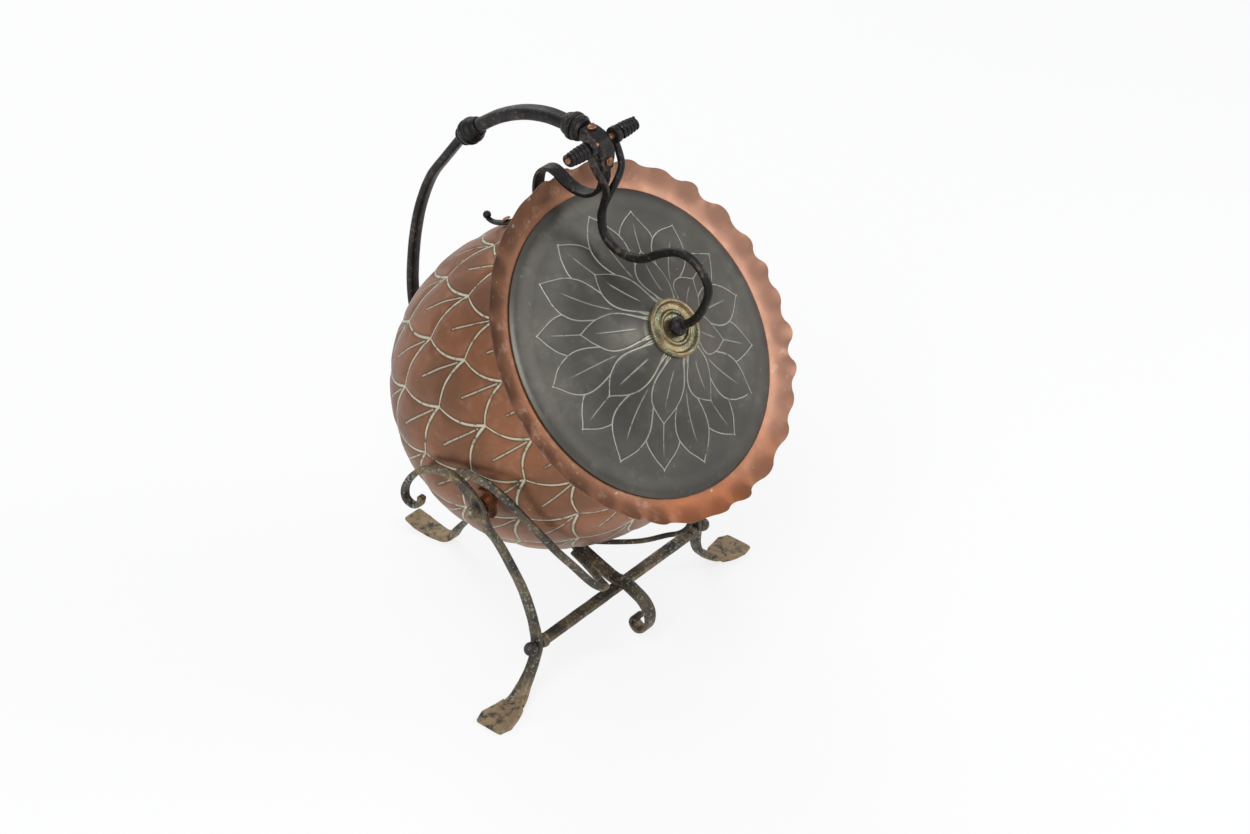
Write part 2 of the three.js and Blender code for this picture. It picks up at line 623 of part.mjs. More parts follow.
for (const side of ['left', 'right']) {
  add(stand, `leg_${side}`, copies(side, leg()), wornIron)
  add(stand, `stretcher_ball_${side}`, copies(side, stretcherBall()), wornIron)
  add(stand, `cradle_loop_${side}`, copies(side, cradleLoop()), wornIron)
  add(stand, `pivot_pin_${side}`, copies(side, pivotPin()), wornIron)
  add(stand, `pivot_rosette_${side}`, copies(side, pivotRosette()), rivetCopper)
  add(stand, `pivot_nut_${side}`, copies(side, pivotNut()), blackIron)
  add(bucket, `spiral_finial_${side}`, copies(side === 'right' ? 'left' : 'right', spiralFinial()), blackIron)
}
add(stand, 'stretcher_bar', stretcher(), wornIron)
add(stand, 'centre_bar', centreBar(), wornIron)
add(stand, 'crossing_rivet', rivet(V(0, stretcherY, crossingZ + centreBarSheet / 2 + 2 * clearance), V(0, 0, 1), 5.5, 3, 2.5,
  centreBarSheet + clearance), wornIron)

const pivotHole = rod(pivotRadius + runningGap, -200, 200, pivot, across)
const strapRivets = [62, 84].map((depth) => onBucketTop(depth, strapRaise + 3.4 / 2 + 0.4 + 3 * clearance))
const footRivets = [20, -4].map((up) => footOnPole(up).addScaledVector(mouthAxis, -(footSheet / 2 + clearance)))
const strapHoles = strapRivets.map((place) => rod(2 + clearance, -14, 6, place, mouthUp))
const footHoles = footRivets.map((place) => rod(2 + clearance, -14, 6, place, rearward))
add(bucket, 'bucket_shell', cut(bucketShell(), pivotHole, ...strapHoles, ...footHoles), copper)
add(bucket, 'frilled_rim', frilledRim(), rimCopper)
add(bucket, 'scroll_strap', cut(scrollStrap(), ...strapHoles), blackIron)
add(bucket, 'handle_bar_rear', cut(rearBar(), ...footHoles), blackIron)
add(bucket, 'handle_collar_rear', rearCollar(), blackIron)
add(bucket, 'handle_grip', grip(), blackIron)
add(bucket, 'handle_collar_front', frontCollar(), blackIron)
add(bucket, 'handle_head', cut(handleHead(), ...headRivetSeats.map(({ place, out }) => rod(2 + clearance, -4.5, 4, place, out))),
  blackIron)
headRivetSeats.forEach(({ place, out }, i) => add(bucket, `head_rivet_${i + 1}`, rivet(place, out, 4.6, 2.2, 2, 4), rivetCopper))
add(bucket, 'hinge_pin', rod(hingePinRadius, -finialTip + 1.5, finialTip - 1.5, hinge, across), rivetCopper)
strapRivets.forEach((place, i) => add(bucket, `strap_rivet_${i + 1}`, rivet(place, mouthUp, 4.2, 2.4, 2, 10), rivetCopper))
footRivets.forEach((place, i) => add(bucket, `foot_rivet_${i + 1}`, rivet(place, rearward, 4.8, 2.6, 2, 10), rivetCopper))

add(lid, 'lid_disc', lidDisc(), bronze)
add(lid, 'boss_ring', bossRing(), brass)
add(lid, 'lid_arm', lidArm(), blackIron)
add(lid, 'lid_washer', ring(11, studRadius + clearance, crownUnder - 2 - clearance, crownUnder - clearance, seat, mouthAxis), brass)
add(lid, 'lid_nut', nut(7.5, studRadius, crownUnder - 8 - clearance, crownUnder - 2 - 2 * clearance, seat, mouthAxis),
  blackIron)

// The origin is under the middle of the whole, on the floor.
const bounds = new THREE.Box3().setFromObject(scuttle)
const middle = bounds.getCenter(V())
scuttle.position.set(-middle.x, -middle.y, -bounds.min.z)
scuttle.updateMatrixWorld(true)

export default scuttle
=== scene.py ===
"""A copper coal scuttle shaped like a scaled flower bud, tipping in a wrought-iron tripod.

Every piece is built around the fixed frame in metres, +Z up, with the mouth facing -Y.
Lengths in the classes are in millimetres, and `MM` turns them into metres.
"""

import json
import logging
import math
from collections.abc import Callable, Iterable, Sequence
from dataclasses import dataclass, field
from enum import Enum

import bmesh
import bpy
import numpy as np
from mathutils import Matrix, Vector

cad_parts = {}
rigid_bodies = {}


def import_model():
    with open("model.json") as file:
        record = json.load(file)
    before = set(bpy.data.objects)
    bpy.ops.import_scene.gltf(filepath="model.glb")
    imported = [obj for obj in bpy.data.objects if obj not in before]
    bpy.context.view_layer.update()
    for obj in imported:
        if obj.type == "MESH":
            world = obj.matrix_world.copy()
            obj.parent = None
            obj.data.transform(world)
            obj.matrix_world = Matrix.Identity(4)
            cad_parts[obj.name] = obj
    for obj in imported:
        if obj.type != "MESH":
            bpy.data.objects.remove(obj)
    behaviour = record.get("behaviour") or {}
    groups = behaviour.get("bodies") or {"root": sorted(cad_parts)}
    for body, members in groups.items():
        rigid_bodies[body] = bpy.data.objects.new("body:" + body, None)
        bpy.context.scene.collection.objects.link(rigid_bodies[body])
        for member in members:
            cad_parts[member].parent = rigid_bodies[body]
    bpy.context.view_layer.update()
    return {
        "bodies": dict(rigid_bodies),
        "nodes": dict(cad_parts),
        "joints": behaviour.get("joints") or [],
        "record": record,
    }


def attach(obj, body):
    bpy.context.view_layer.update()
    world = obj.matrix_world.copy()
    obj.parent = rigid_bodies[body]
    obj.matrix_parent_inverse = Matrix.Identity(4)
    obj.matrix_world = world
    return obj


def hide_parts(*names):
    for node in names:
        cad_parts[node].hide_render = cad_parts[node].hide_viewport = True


LOG = logging.getLogger("scuttle")
MM = 0.001
Point = tuple[float, float, float]


class Body(Enum):
    """The rigid bodies that pieces ride on."""

    STAND = "stand"
    BUCKET = "bucket"
    LID = "lid"


class Slot(Enum):
    """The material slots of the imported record."""

    COPPER = "copper"
    RIM = "rim_copper"
    LID = "lid_bronze"
    BOSS = "boss_brass"
    BLACK_IRON = "black_iron"
    WORN_IRON = "worn_iron"
    RIVET = "rivet_copper"


# ---- Node graphs --------------------------------------------------------------------------------


class Socket:
    """A node socket that can be used in Python arithmetic."""

    def __init__(self, graph: "Graph", socket: bpy.types.NodeSocket) -> None:
        """Wraps one output socket.

        Args:
            graph: the graph that new Math nodes go into.
            socket: the output socket.
        """
        self.graph = graph
        self.socket = socket

    def _math(self, operation: str, *values: object) -> "Socket":
        """Adds a Math node and returns its value."""
        return self.graph.math(operation, *values)

    def __add__(self, other: object) -> "Socket":
        """self + other."""
        return self._math("ADD", self, other)

    __radd__ = __add__

    def __sub__(self, other: object) -> "Socket":
        """self - other."""
        return self._math("SUBTRACT", self, other)

    def __rsub__(self, other: object) -> "Socket":
        """other - self."""
        return self._math("SUBTRACT", other, self)

    def __mul__(self, other: object) -> "Socket":
        """self * other."""
        return self._math("MULTIPLY", self, other)

    __rmul__ = __mul__

    def __truediv__(self, other: object) -> "Socket":
        """self / other."""
        return self._math("DIVIDE", self, other)

    def __rtruediv__(self, other: object) -> "Socket":
        """other / self."""
        return self._math("DIVIDE", other, self)

    def __pow__(self, other: object) -> "Socket":
        """self ** other."""
        return self._math("POWER", self, other)

    def __abs__(self) -> "Socket":
        """abs(self)."""
        return self._math("ABSOLUTE", self)


Value = Socket | float | int


class Graph:
    """A shader or geometry node tree that is built by expressions."""

    def __init__(self, tree: bpy.types.NodeTree) -> None:
        """Keeps the tree and counts its nodes, so that they lie in columns.

        Args:
            tree: an empty node tree.
        """
        self.tree = tree

    def node(self, kind: str, settings: dict | None = None, **values: object) -> bpy.types.Node:
        """Adds a node of any type.

        Args:
            kind: the node's type name.
            settings: properties that are set before the sockets.
            values: a value or a Socket for each input, with _ for a space in its name.

        Returns:
            The node.
        """
        made = self.tree.nodes.new(kind)
        made.location = (180 * (len(self.tree.nodes) % 24), -220 * (len(self.tree.nodes) // 24))
        for key, value in (settings or {}).items():
            setattr(made, key, value)
        for key, value in values.items():
            name = key.replace("_", " ")
            target = next(s for s in made.inputs if s.name == name and s.enabled)
            self.feed(target, value)
        return made

    def feed(self, target: bpy.types.NodeSocket, value: object) -> None:
        """Links or sets one input socket.

        Args:
            target: the input socket.
            value: a Socket to link, or a value to set.
        """
        if isinstance(value, Socket):
            self.tree.links.new(value.socket, target)
        elif target.type == "RGBA" and len(value) == 3:
            target.default_value = (*value, 1.0)
        else:
            target.default_value = value

    def out(self, node: bpy.types.Node, name: str | None = None) -> Socket:
        """An enabled output of a node, its first one unless a name is given."""
        found = next(s for s in node.outputs if s.enabled and name in (None, s.name))
        return Socket(self, found)

    def math(self, operation: str, *values: object) -> Socket:
        """A Math node on up to three values.

        Args:
            operation: the node's operation.
            values: the inputs, in the node's order.

        Returns:
            The node's result.
        """
        made = self.node("ShaderNodeMath", {"operation": operation})
        for target, value in zip(made.inputs, values):
            self.feed(target, value)
        return self.out(made)

    def vector(self, operation: str, *values: object) -> Socket:
        """A Vector Math node that returns a vector.

        Args:
            operation: the node's operation.
            values: the inputs, in the node's order.

        Returns:
            The node's vector.
        """
        made = self.node("ShaderNodeVectorMath", {"operation": operation})
        for target, value in zip(made.inputs, values):
            self.feed(target, value)
        return self.out(made, "Vector")

    def scaled(self, vector: Socket, factor: object) -> Socket:
        """A vector times a number.

        Args:
            vector: the vector to scale.
            factor: the number.

        Returns:
            The scaled vector.
        """
        made = self.node("ShaderNodeVectorMath", {"operation": "SCALE"}, Scale=factor)
        self.feed(made.inputs[0], vector)
        return self.out(made, "Vector")

    def split(self, vector: Socket) -> tuple[Socket, Socket, Socket]:
        """The three numbers of a vector."""
        made = self.node("ShaderNodeSeparateXYZ", Vector=vector)
        return self.out(made, "X"), self.out(made, "Y"), self.out(made, "Z")

    def joined(self, x: object, y: object, z: object) -> Socket:
        """A vector of three numbers."""
        return self.out(self.node("ShaderNodeCombineXYZ", X=x, Y=y, Z=z))

    def smooth(self, value: Socket, low: float, high: float) -> Socket:
        """0 below low, 1 above high and a smooth step between, or the reverse if low > high.

        Args:
            value: the number to step on.
            low: where the result is 0.
            high: where the result is 1.

        Returns:
            A value from 0 to 1.
        """
        start, end = (low, high) if low < high else (high, low)
        ends = (0.0, 1.0) if low < high else (1.0, 0.0)
        made = self.node(
            "ShaderNodeMapRange",
            {"interpolation_type": "SMOOTHSTEP"},
            Value=value,
            From_Min=start,
            From_Max=end,
            To_Min=ends[0],
            To_Max=ends[1],
        )
        return self.out(made, "Result")

    def noise(self, place: Socket, scale: float, detail: float = 2.0, rough: float = 0.5) -> Socket:
        """A noise value from 0 to 1 at a place.

        Args:
            place: the coordinates to read.
            scale: how many features lie in a metre.
            detail: how many octaves are added.
            rough: how strong the finer octaves are.

        Returns:
            The noise value.
        """
        made = self.node(
            "ShaderNodeTexNoise", Vector=place, Scale=scale, Detail=detail, Roughness=rough
        )
        return Socket(self, made.outputs[0])

    def mix(self, factor: object, low: object, high: object) -> Socket:
        """A colour between two colours.

        Args:
            factor: 0 for low and 1 for high.
            low: the colour at 0.
            high: the colour at 1.

        Returns:
            The mixed colour.
        """
        made = self.node("ShaderNodeMix", {"data_type": "RGBA", "clamp_factor": True})
        sockets = [s for s in made.inputs if s.enabled]
        for target, value in zip(sockets, (factor, low, high)):
            self.feed(target, value)
        return self.out(made, "Result")


# ---- Shared patterns ----------------------------------------------------------------------------


@dataclass(frozen=True)
class ScaleLattice:
    """The bud's overlapping scales, in a map of turns round the bucket and rows along it."""

    around: int = 15
    straightness: float = 0.5
    rib_start: float = 0.2
    rib_end: float = 2.0

    def edge(self, graph: Graph, turn: Value, row: Value) -> tuple[Socket, Socket, Socket]:
        """How a place lies to the nearest scale's edges.

        Args:
            graph: the graph to build in.
            turn: the angle round the bucket, in scales.
            row: the place along the bucket, where tips lie on whole numbers.

        Returns:
            The distance outside the edge line in scales, the way across the nearest tip's line,
            and the way back from that tip in rows.
        """
        level = graph.math("FLOOR", row)
        back = row - level
        stagger = graph.math("FLOORED_MODULO", level, 2.0) * 0.5
        across = abs(graph.math("FLOORED_MODULO", turn + stagger, 1.0) - 0.5)
        straight = self.straightness * 0.5
        half = back * straight + back**3.0 * (0.5 - straight)
        return across - half, across, back


@dataclass(frozen=True)
class PetalRing:
    """One ring of engraved petals on the lid."""

    count: int
    first_degrees: float
    tip: float
    width: float
    fullness: float
    rib_from: float
    rib_to: float

    def draw(
        self, graph: Graph, angle: Value, radius: Value, line: float
    ) -> tuple[Socket, Socket]:
        """The ring's line mask and its inside mask.

        Args:
            graph: the graph to build in.
            angle: the angle round the lid from its top, in radians.
            radius: the distance from the lid's middle, in millimetres.
            line: half the engraved line's width, in millimetres.

        Returns:
            The line mask and the inside mask.
        """
        pitch = 2 * math.pi / self.count
        turned = graph.math("FLOORED_MODULO", angle - math.radians(self.first_degrees) + pitch / 2,
            pitch)
        across = abs(turned - pitch / 2) * radius
        share = graph.math("MINIMUM", radius / self.tip, 1.0)
        lobe = graph.math("MAXIMUM", graph.math("SINE", share**self.fullness * math.pi), 0.0)
        half = lobe**1.2 * self.width
        offset = across - half
        within = graph.math("LESS_THAN", radius, self.tip + line)
        outline = graph.smooth(abs(offset), line * 1.6, line * 0.6) * within
        inside = graph.smooth(offset, 0.0, -0.01) * within
        rib_span = graph.smooth(share, self.rib_from - 0.06, self.rib_from) * graph.smooth(
            share, self.rib_to, self.rib_to - 0.12
        )
        rib = graph.smooth(across, line * 1.4, line * 0.5) * rib_span * 0.8
        return graph.math("MAXIMUM", outline, rib), inside


PETALS = (
    PetalRing(8, 27.7, 81.0, 17.5, 1.7, 0.5, 0.86),
    PetalRing(8, 5.2, 121.5, 20.0, 2.3, 0.5, 0.86),
    PetalRing(8, 27.7, 121.5, 20.0, 2.3, 0.5, 0.92),
)


def petal_lines(graph: Graph, angle: Value, radius: Value, line: float) -> Socket:
    """All the lid's engraved lines, with each ring hiding the ones under it.

    Args:
        graph: the graph to build in.
        angle: the angle round the lid from its top, in radians.
        radius: the distance from the lid's middle, in millimetres.
        line: half the engraved line's width, in millimetres.

    Returns:
        The mask of the lines, from 0 to 1.
    """
    mask, covered = PETALS[0].draw(graph, angle, radius, line)
    for ring in PETALS[1:]:
        lines, inside = ring.draw(graph, angle, radius, line)
        mask = graph.math("MAXIMUM", mask, lines * (1.0 - covered))
        covered = graph.math("MAXIMUM", covered, inside)
    return mask


def scale_row(depth: float, rows: Sequence[float]) -> float:
    """The row number at a depth, where `rows` gives the depths of the tips in order.

    Args:
        depth: the depth behind the lid's seat, in millimetres.
        rows: the depths of the tips, in order.

    Returns:
        The row number.
    """
    if depth <= rows[0]:
        return (depth - rows[0]) / (rows[1] - rows[0])
    return float(np.interp(depth, rows, range(len(rows))))


def scale_marks(graph: Graph, turn: Value, row: Value) -> tuple[Socket, Socket, Socket]:
    """The bucket's scale pattern.

    Args:
        graph: the graph to build in.
        turn: the angle round the bucket, in scales.
        row: the place along the bucket, where tips lie on whole numbers.

    Returns:
        The distance from the nearest edge in scales, a rib value that is 0 on a rib and grows
        away from it, and the pillow height of the scale from 0 to 1.
    """
    lattice = ScaleLattice()
    outside, across, back = lattice.edge(graph, turn, row)
    far = 0.5 - across
    own = graph.math("GREATER_THAN", 0.0, outside)
    along = own * back + (1.0 - own) * (back + 1.0)
    sideways = own * across + (1.0 - own) * far
    span = graph.smooth(along, lattice.rib_start - 0.1, lattice.rib_start) * graph.smooth(
        along, lattice.rib_end, lattice.rib_end - 0.75
    )
    rib = sideways + (1.0 - span) * 1.0
    edge = abs(outside)
    pillow = graph.smooth(edge, 0.0, 0.2)
    return edge, rib, pillow


# ---- Finishes -----------------------------------------------------------------------------------


@dataclass(frozen=True)
class Finish:
    """A procedural finish: base colours, gloss and the marks of age."""

    name: str
    base: Point
    dark: Point
    pale: Point
    roughness: float = 0.45
    metallic: float = 0.85
    pattern_scale: float = 18.0
    pale_amount: float = 0.35
    spots: Point | None = None
    spot_amount: float = 0.62
    hammer: float = 0.15

    def material(self) -> bpy.types.Material:
        """Makes the material.

        Returns:
            The finished material.
        """
        made = bpy.data.materials.new(self.name)
        made.use_nodes = True
        made.node_tree.nodes.clear()
        graph = Graph(made.node_tree)
        place = graph.out(graph.node("ShaderNodeTexCoord"), "Object")
        color, rough, height = self.surface(graph, place)
        bump = graph.node("ShaderNodeBump", Strength=1.0, Distance=MM, Height=height)
        shader = graph.node(
            "ShaderNodeBsdfPrincipled",
            Base_Color=color,
            Roughness=rough,
            Metallic=self.metallic,
            Normal=graph.out(bump),
        )
        graph.node("ShaderNodeOutputMaterial", Surface=graph.out(shader))
        return made

    def surface(self, graph: Graph, place: Socket) -> tuple[Socket, Socket, Socket]:
        """The colour, roughness and height of the surface.

        Args:
            graph: the shader graph.
            place: object coordinates in metres.

        Returns:
            Colour, roughness and height in millimetres.
        """
        broad = graph.noise(place, self.pattern_scale, 4.0, 0.6)
        fine = graph.noise(place, self.pattern_scale * 7.0, 5.0, 0.65)
        color = graph.mix(graph.smooth(broad, 0.35, 0.65), self.dark, self.base)
        worn = graph.smooth(fine + broad * 0.5, 0.78, 0.98) * self.pale_amount
        color = graph.mix(worn, color, self.pale)
        if self.spots:
            speck = graph.noise(place, self.pattern_scale * 12.0, 2.0, 0.5)
            patch = graph.noise(place, self.pattern_scale * 1.4, 2.0, 0.5)
            mask = graph.smooth(speck + patch * 0.4, self.spot_amount + 0.2, self.spot_amount + 0.28)
            color = graph.mix(mask * 0.75, color, self.spots)
        rough = (fine - 0.5) * 0.3 + self.roughness
        height = (fine - 0.5) * self.hammer + (broad - 0.5) * self.hammer * 2.0
        return color, rough, height


@dataclass(frozen=True)
class ScaledCopper(Finish):
    """Copper sheet with chased scales, whose lines hold pale verdigris."""

    line_color: Point = (0.62, 0.60, 0.45)
    shade_color: Point = (0.10, 0.050, 0.028)

    def surface(self, graph: Graph, place: Socket) -> tuple[Socket, Socket, Socket]:
        """The plain copper with the scales' lines over it.

        Args:
            graph: the graph to build in.
            place: object coordinates in metres.

        Returns:
            Colour, roughness and height in millimetres.
        """
        color, rough, height = Finish.surface(self, graph, place)
        flat = graph.out(graph.node("ShaderNodeUVMap", {"uv_map": BudShell.PATTERN}))
        turn, row, _ = graph.split(flat)
        wobble = graph.noise(place, 26.0, 2.0, 0.5) - 0.5
        edge, rib, _ = scale_marks(graph, turn + wobble * 0.03, row + wobble * 0.05)
        fade = graph.smooth(row, 7.6, 6.6)
        shade = graph.smooth(edge, 0.075, 0.012) * fade
        rib_shade = graph.smooth(rib, 0.05, 0.01) * fade
        color = graph.mix(graph.math("MAXIMUM", shade, rib_shade) * 0.75, color, self.shade_color)
        grain = graph.noise(place, 160.0, 3.0, 0.6)
        line = graph.smooth(edge, 0.026, 0.012) * fade
        rib_line = graph.smooth(rib, 0.017, 0.006) * fade * 0.8
        pale = graph.math("MAXIMUM", line, rib_line) * graph.smooth(grain, 0.28, 0.5)
        color = graph.mix(pale, color, self.line_color)
        return color, rough + pale * 0.2, height


@dataclass(frozen=True)
class EngravedBronze(Finish):
    """Dark sheet with pale engraved petals."""

    line_color: Point = (0.42, 0.42, 0.34)

    def surface(self, graph: Graph, place: Socket) -> tuple[Socket, Socket, Socket]:
        """The dark sheet with the petals' lines over it.

        Args:
            graph: the graph to build in.
            place: object coordinates in metres.

        Returns:
            Colour, roughness and height in millimetres.
        """
        color, rough, height = Finish.surface(self, graph, place)
        flat = graph.out(graph.node("ShaderNodeUVMap", {"uv_map": BudShell.PATTERN}))
        angle, radius, _ = graph.split(flat)
        wobble = graph.noise(place, 22.0, 2.0, 0.5) - 0.5
        drift = graph.noise(place, 9.0, 1.0, 0.5) - 0.5
        lines = petal_lines(graph, angle + drift * 0.12, radius + wobble * 9.0, 0.62)
        grain = graph.noise(place, 190.0, 3.0, 0.6)
        pale = lines * graph.smooth(grain, 0.25, 0.45)
        color = graph.mix(pale * 0.9, color, self.line_color)
        return color, rough, height - lines * 0.25


@dataclass(frozen=True)
class RimCopper(Finish):
    """Copper that is brown on one side and orange below, with a painted pinkish tan highlight on the other side."""

    # tan: the colour of the painted highlight on the rim's +x side.
    tan: Point = (0.50, 0.27, 0.185)
    orange: Point = (0.46, 0.155, 0.062)

    def surface(self, graph: Graph, place: Socket) -> tuple[Socket, Socket, Socket]:
        """The plain copper with its orange tint below and its painted highlight on the +x side.

        Args:
            graph: the graph to build in.
            place: object coordinates in metres.

        Returns:
            Colour, roughness and height in millimetres.
        """
        color, rough, height = Finish.surface(self, graph, place)
        side, _, rise = graph.split(place)
        drift = (graph.noise(place, 14.0, 3.0, 0.6) - 0.5) * 0.12
        low = graph.smooth(rise + drift, 0.29, 0.19)
        color = graph.mix(low * 0.8, color, self.orange)
        # Painted highlight: the rim's +x side is mixed towards pinkish tan.
        highlight_flank = graph.smooth(side + drift, 0.0, 0.13)
        return graph.mix(highlight_flank * 0.7, color, self.tan), rough, height


@dataclass(frozen=True)
class FootWornIron(Finish):
    """Wrought iron that is rubbed to tan and gold on its feet."""

    foot_color: Point = (0.33, 0.235, 0.13)
    foot_height: float = 0.034

    def surface(self, graph: Graph, place: Socket) -> tuple[Socket, Socket, Socket]:
        """The plain iron with the rubbed feet.

        Args:
            graph: the graph to build in.
            place: object coordinates in metres.

        Returns:
            Colour, roughness and height in millimetres.
        """
        color, rough, height = Finish.surface(self, graph, place)
        _, _, rise = graph.split(place)
        grain = graph.noise(place, 120.0, 4.0, 0.6)
        foot = graph.smooth(rise, self.foot_height, 0.004) * graph.smooth(grain, 0.34, 0.56)
        return graph.mix(foot * 0.85, color, self.foot_color), rough, height


FINISHES: dict[Slot, Finish] = {
    Slot.COPPER: ScaledCopper(
        "aged copper scales",
        base=(0.31, 0.130, 0.066),
        dark=(0.185, 0.088, 0.048),
        pale=(0.42, 0.24, 0.15),
        roughness=0.42,
        metallic=0.8,
        pattern_scale=9.0,
        pale_amount=0.4,
        spots=(0.56, 0.53, 0.40),
        spot_amount=0.735,
        hammer=0.10,
    ),
    Slot.RIM: RimCopper(
        "aged copper rim",
        base=(0.25, 0.108, 0.058),
        dark=(0.15, 0.069, 0.038),
        pale=(0.52, 0.34, 0.25),
        roughness=0.44,
        metallic=0.8,
        pattern_scale=11.0,
        pale_amount=0.45,
        spots=(0.38, 0.42, 0.30),
        spot_amount=0.70,
        hammer=0.10,
    ),
    Slot.LID: EngravedBronze(
        "dark engraved lid",
        base=(0.118, 0.110, 0.092),
        dark=(0.078, 0.074, 0.064),
        pale=(0.19, 0.185, 0.16),
        roughness=0.40,
        metallic=0.75,
        pattern_scale=10.0,
        pale_amount=0.35,
        spots=(0.22, 0.24, 0.18),
        spot_amount=0.76,
        hammer=0.12,
    ),
    Slot.BOSS: Finish(
        "dull brass",
        base=(0.30, 0.20, 0.095),
        dark=(0.12, 0.10, 0.06),
        pale=(0.50, 0.42, 0.25),
        roughness=0.42,
        metallic=0.8,
        pattern_scale=60.0,
        spots=(0.30, 0.36, 0.24),
        spot_amount=0.55,
        hammer=0.12,
    ),
    Slot.BLACK_IRON: Finish(
        "blackened iron",
        base=(0.020, 0.018, 0.017),
        dark=(0.010, 0.010, 0.010),
        pale=(0.17, 0.12, 0.085),
        roughness=0.42,
        metallic=0.6,
        pattern_scale=34.0,
        pale_amount=0.55,
        hammer=0.35,
    ),
    Slot.WORN_IRON: FootWornIron(
        "worn wrought iron",
        base=(0.135, 0.108, 0.070),
        dark=(0.034, 0.033, 0.030),
        pale=(0.42, 0.29, 0.155),
        roughness=0.55,
        metallic=0.5,
        pattern_scale=30.0,
        pale_amount=0.7,
        spots=(0.33, 0.33, 0.25),
        spot_amount=0.60,
        hammer=0.45,
    ),
    Slot.RIVET: Finish(
        "worn copper",
        base=(0.38, 0.175, 0.090),
        dark=(0.18, 0.085, 0.045),
        pale=(0.70, 0.42, 0.25),
        roughness=0.38,
        metallic=0.85,
        pattern_scale=70.0,
        hammer=0.15,
    ),
}


# ---- Making pieces ------------------------------------------------------------------------------


@dataclass
class Site:
    """Where the main places lie, worked out from the frame's joints."""

    hinge: Vector
    pivot: Vector
    pitch: float = math.radians(40.0)
    hinge_forward: float = 47.2
    hinge_rise: float = 189.0
    materials: dict[Slot, bpy.types.Material] = field(default_factory=dict)

    @classmethod
    def from_frame(cls, frame: dict) -> "Site":
        """Reads the two joints of the frame."""
        joints = {joint["name"]: Vector(joint["pos_m"]) for joint in frame["joints"]}
        return cls(hinge=joints["lid_hinge"], pivot=joints["bucket_tilt"])

    @property
    def mouth_axis(self) -> Vector:
        """The direction out of the mouth."""
        return Vector((0.0, -math.cos(self.pitch), math.sin(self.pitch)))

    @property
    def mouth_up(self) -> Vector:
        """The direction up the mouth, square to its axis."""
        return Vector((0.0, math.sin(self.pitch), math.cos(self.pitch)))

    @property
    def seat(self) -> Vector:
        """The middle of the lid's seat."""
        return self.hinge + Vector((0.0, -self.hinge_forward, -self.hinge_rise)) * MM

    def at(self, x: float, y: float, z: float) -> Vector:
        """A place in millimetres, with y counted from the lid's seat."""
        return Vector((x * MM, self.seat.y + y * MM, z * MM))

    def from_seat(self, forward: float, up: float, side: float = 0.0) -> Vector:
        """A place in millimetres from the lid's seat."""
        return self.seat + (self.mouth_axis * forward + self.mouth_up * up) * MM + Vector((side * MM, 0, 0))


def centripetal(points: Sequence[Vector], samples: int) -> list[Vector]:
    """A smooth path through points.

    Args:
        points: the places that the path goes through.
        samples: steps between two neighbouring points.

    Returns:
        The places along the path, ends included.
    """
    ends = [points[0] * 2 - points[1], *points, points[-1] * 2 - points[-2]]
    path: list[Vector] = []
    for before, start, end, after in zip(ends, ends[1:], ends[2:], ends[3:]):
        knots = [0.0]
        for a, b in ((before, start), (start, end), (end, after)):
            knots.append(knots[-1] + max((b - a).length, 1e-9) ** 0.5)
        first = (start - before) / (knots[1] - knots[0]) - (end - before) / (knots[2] - knots[0])
        leave = (first + (end - start) / (knots[2] - knots[1])) * (knots[2] - knots[1])
        last = (end - start) / (knots[2] - knots[1]) - (after - start) / (knots[3] - knots[1])
        arrive = (last + (after - end) / (knots[3] - knots[2])) * (knots[2] - knots[1])
        for step in range(samples):
            t = step / samples
            path.append(
                start * (2 * t**3 - 3 * t**2 + 1)
                + leave * (t**3 - 2 * t**2 + t)
                + end * (3 * t**2 - 2 * t**3)
                + arrive * (t**3 - t**2)
            )
    path.append(points[-1].copy())
    return path


def spread(values: float | Sequence[float], t: float) -> float:
    """The value at a share of the way along a list of evenly placed values.

    Args:
        values: one value, or a list of evenly placed values.
        t: the share of the way, from 0 to 1.

    Returns:
        The value there.
    """
    if not isinstance(values, Sequence):
        return values
    return float(np.interp(t * (len(values) - 1), range(len(values)), values))


def new_mesh_object(
    name: str, points: Sequence[Vector], **attributes: Sequence[Sequence[float]]
) -> bpy.types.Object:
    """An object of loose points with vector attributes, for a node tree to build on.

    Args:
        name: the piece's name.
        points: the places of the points, in metres.
        attributes: the vectors of each named attribute.

    Returns:
        The object, linked to the scene.
    """
    mesh = bpy.data.meshes.new(name)
    mesh.from_pydata([tuple(p) for p in points], [], [])
    for key, values in attributes.items():
        made = mesh.attributes.new(key, "FLOAT_VECTOR", "POINT")
        made.data.foreach_set("vector", np.array(values, np.float32).ravel())
    made = bpy.data.objects.new(name, mesh)
    bpy.context.scene.collection.objects.link(made)
    return made


def baked(
    source: bpy.types.Object, tree: bpy.types.NodeTree, inputs: dict[str, object]
) -> bpy.types.Object:
    """Runs a node tree on an object and keeps the result as a plain mesh.

    Args:
        source: the object that the tree builds on.
        tree: the geometry node tree.
        inputs: a value for each named input.

    Returns:
        The object with its finished mesh.
    """
    modifier = source.modifiers.new("build", "NODES")
    modifier.node_group = tree
    for item in tree.interface.items_tree:
        if item.item_type == "SOCKET" and item.in_out == "INPUT" and item.name in inputs:
            modifier[item.identifier] = inputs[item.name]
    depsgraph = bpy.context.evaluated_depsgraph_get()
    mesh = bpy.data.meshes.new_from_object(source.evaluated_get(depsgraph))
    source.modifiers.remove(modifier)
    old = source.data
    source.data = mesh
    mesh.name = source.name
    bpy.data.meshes.remove(old)
    return source


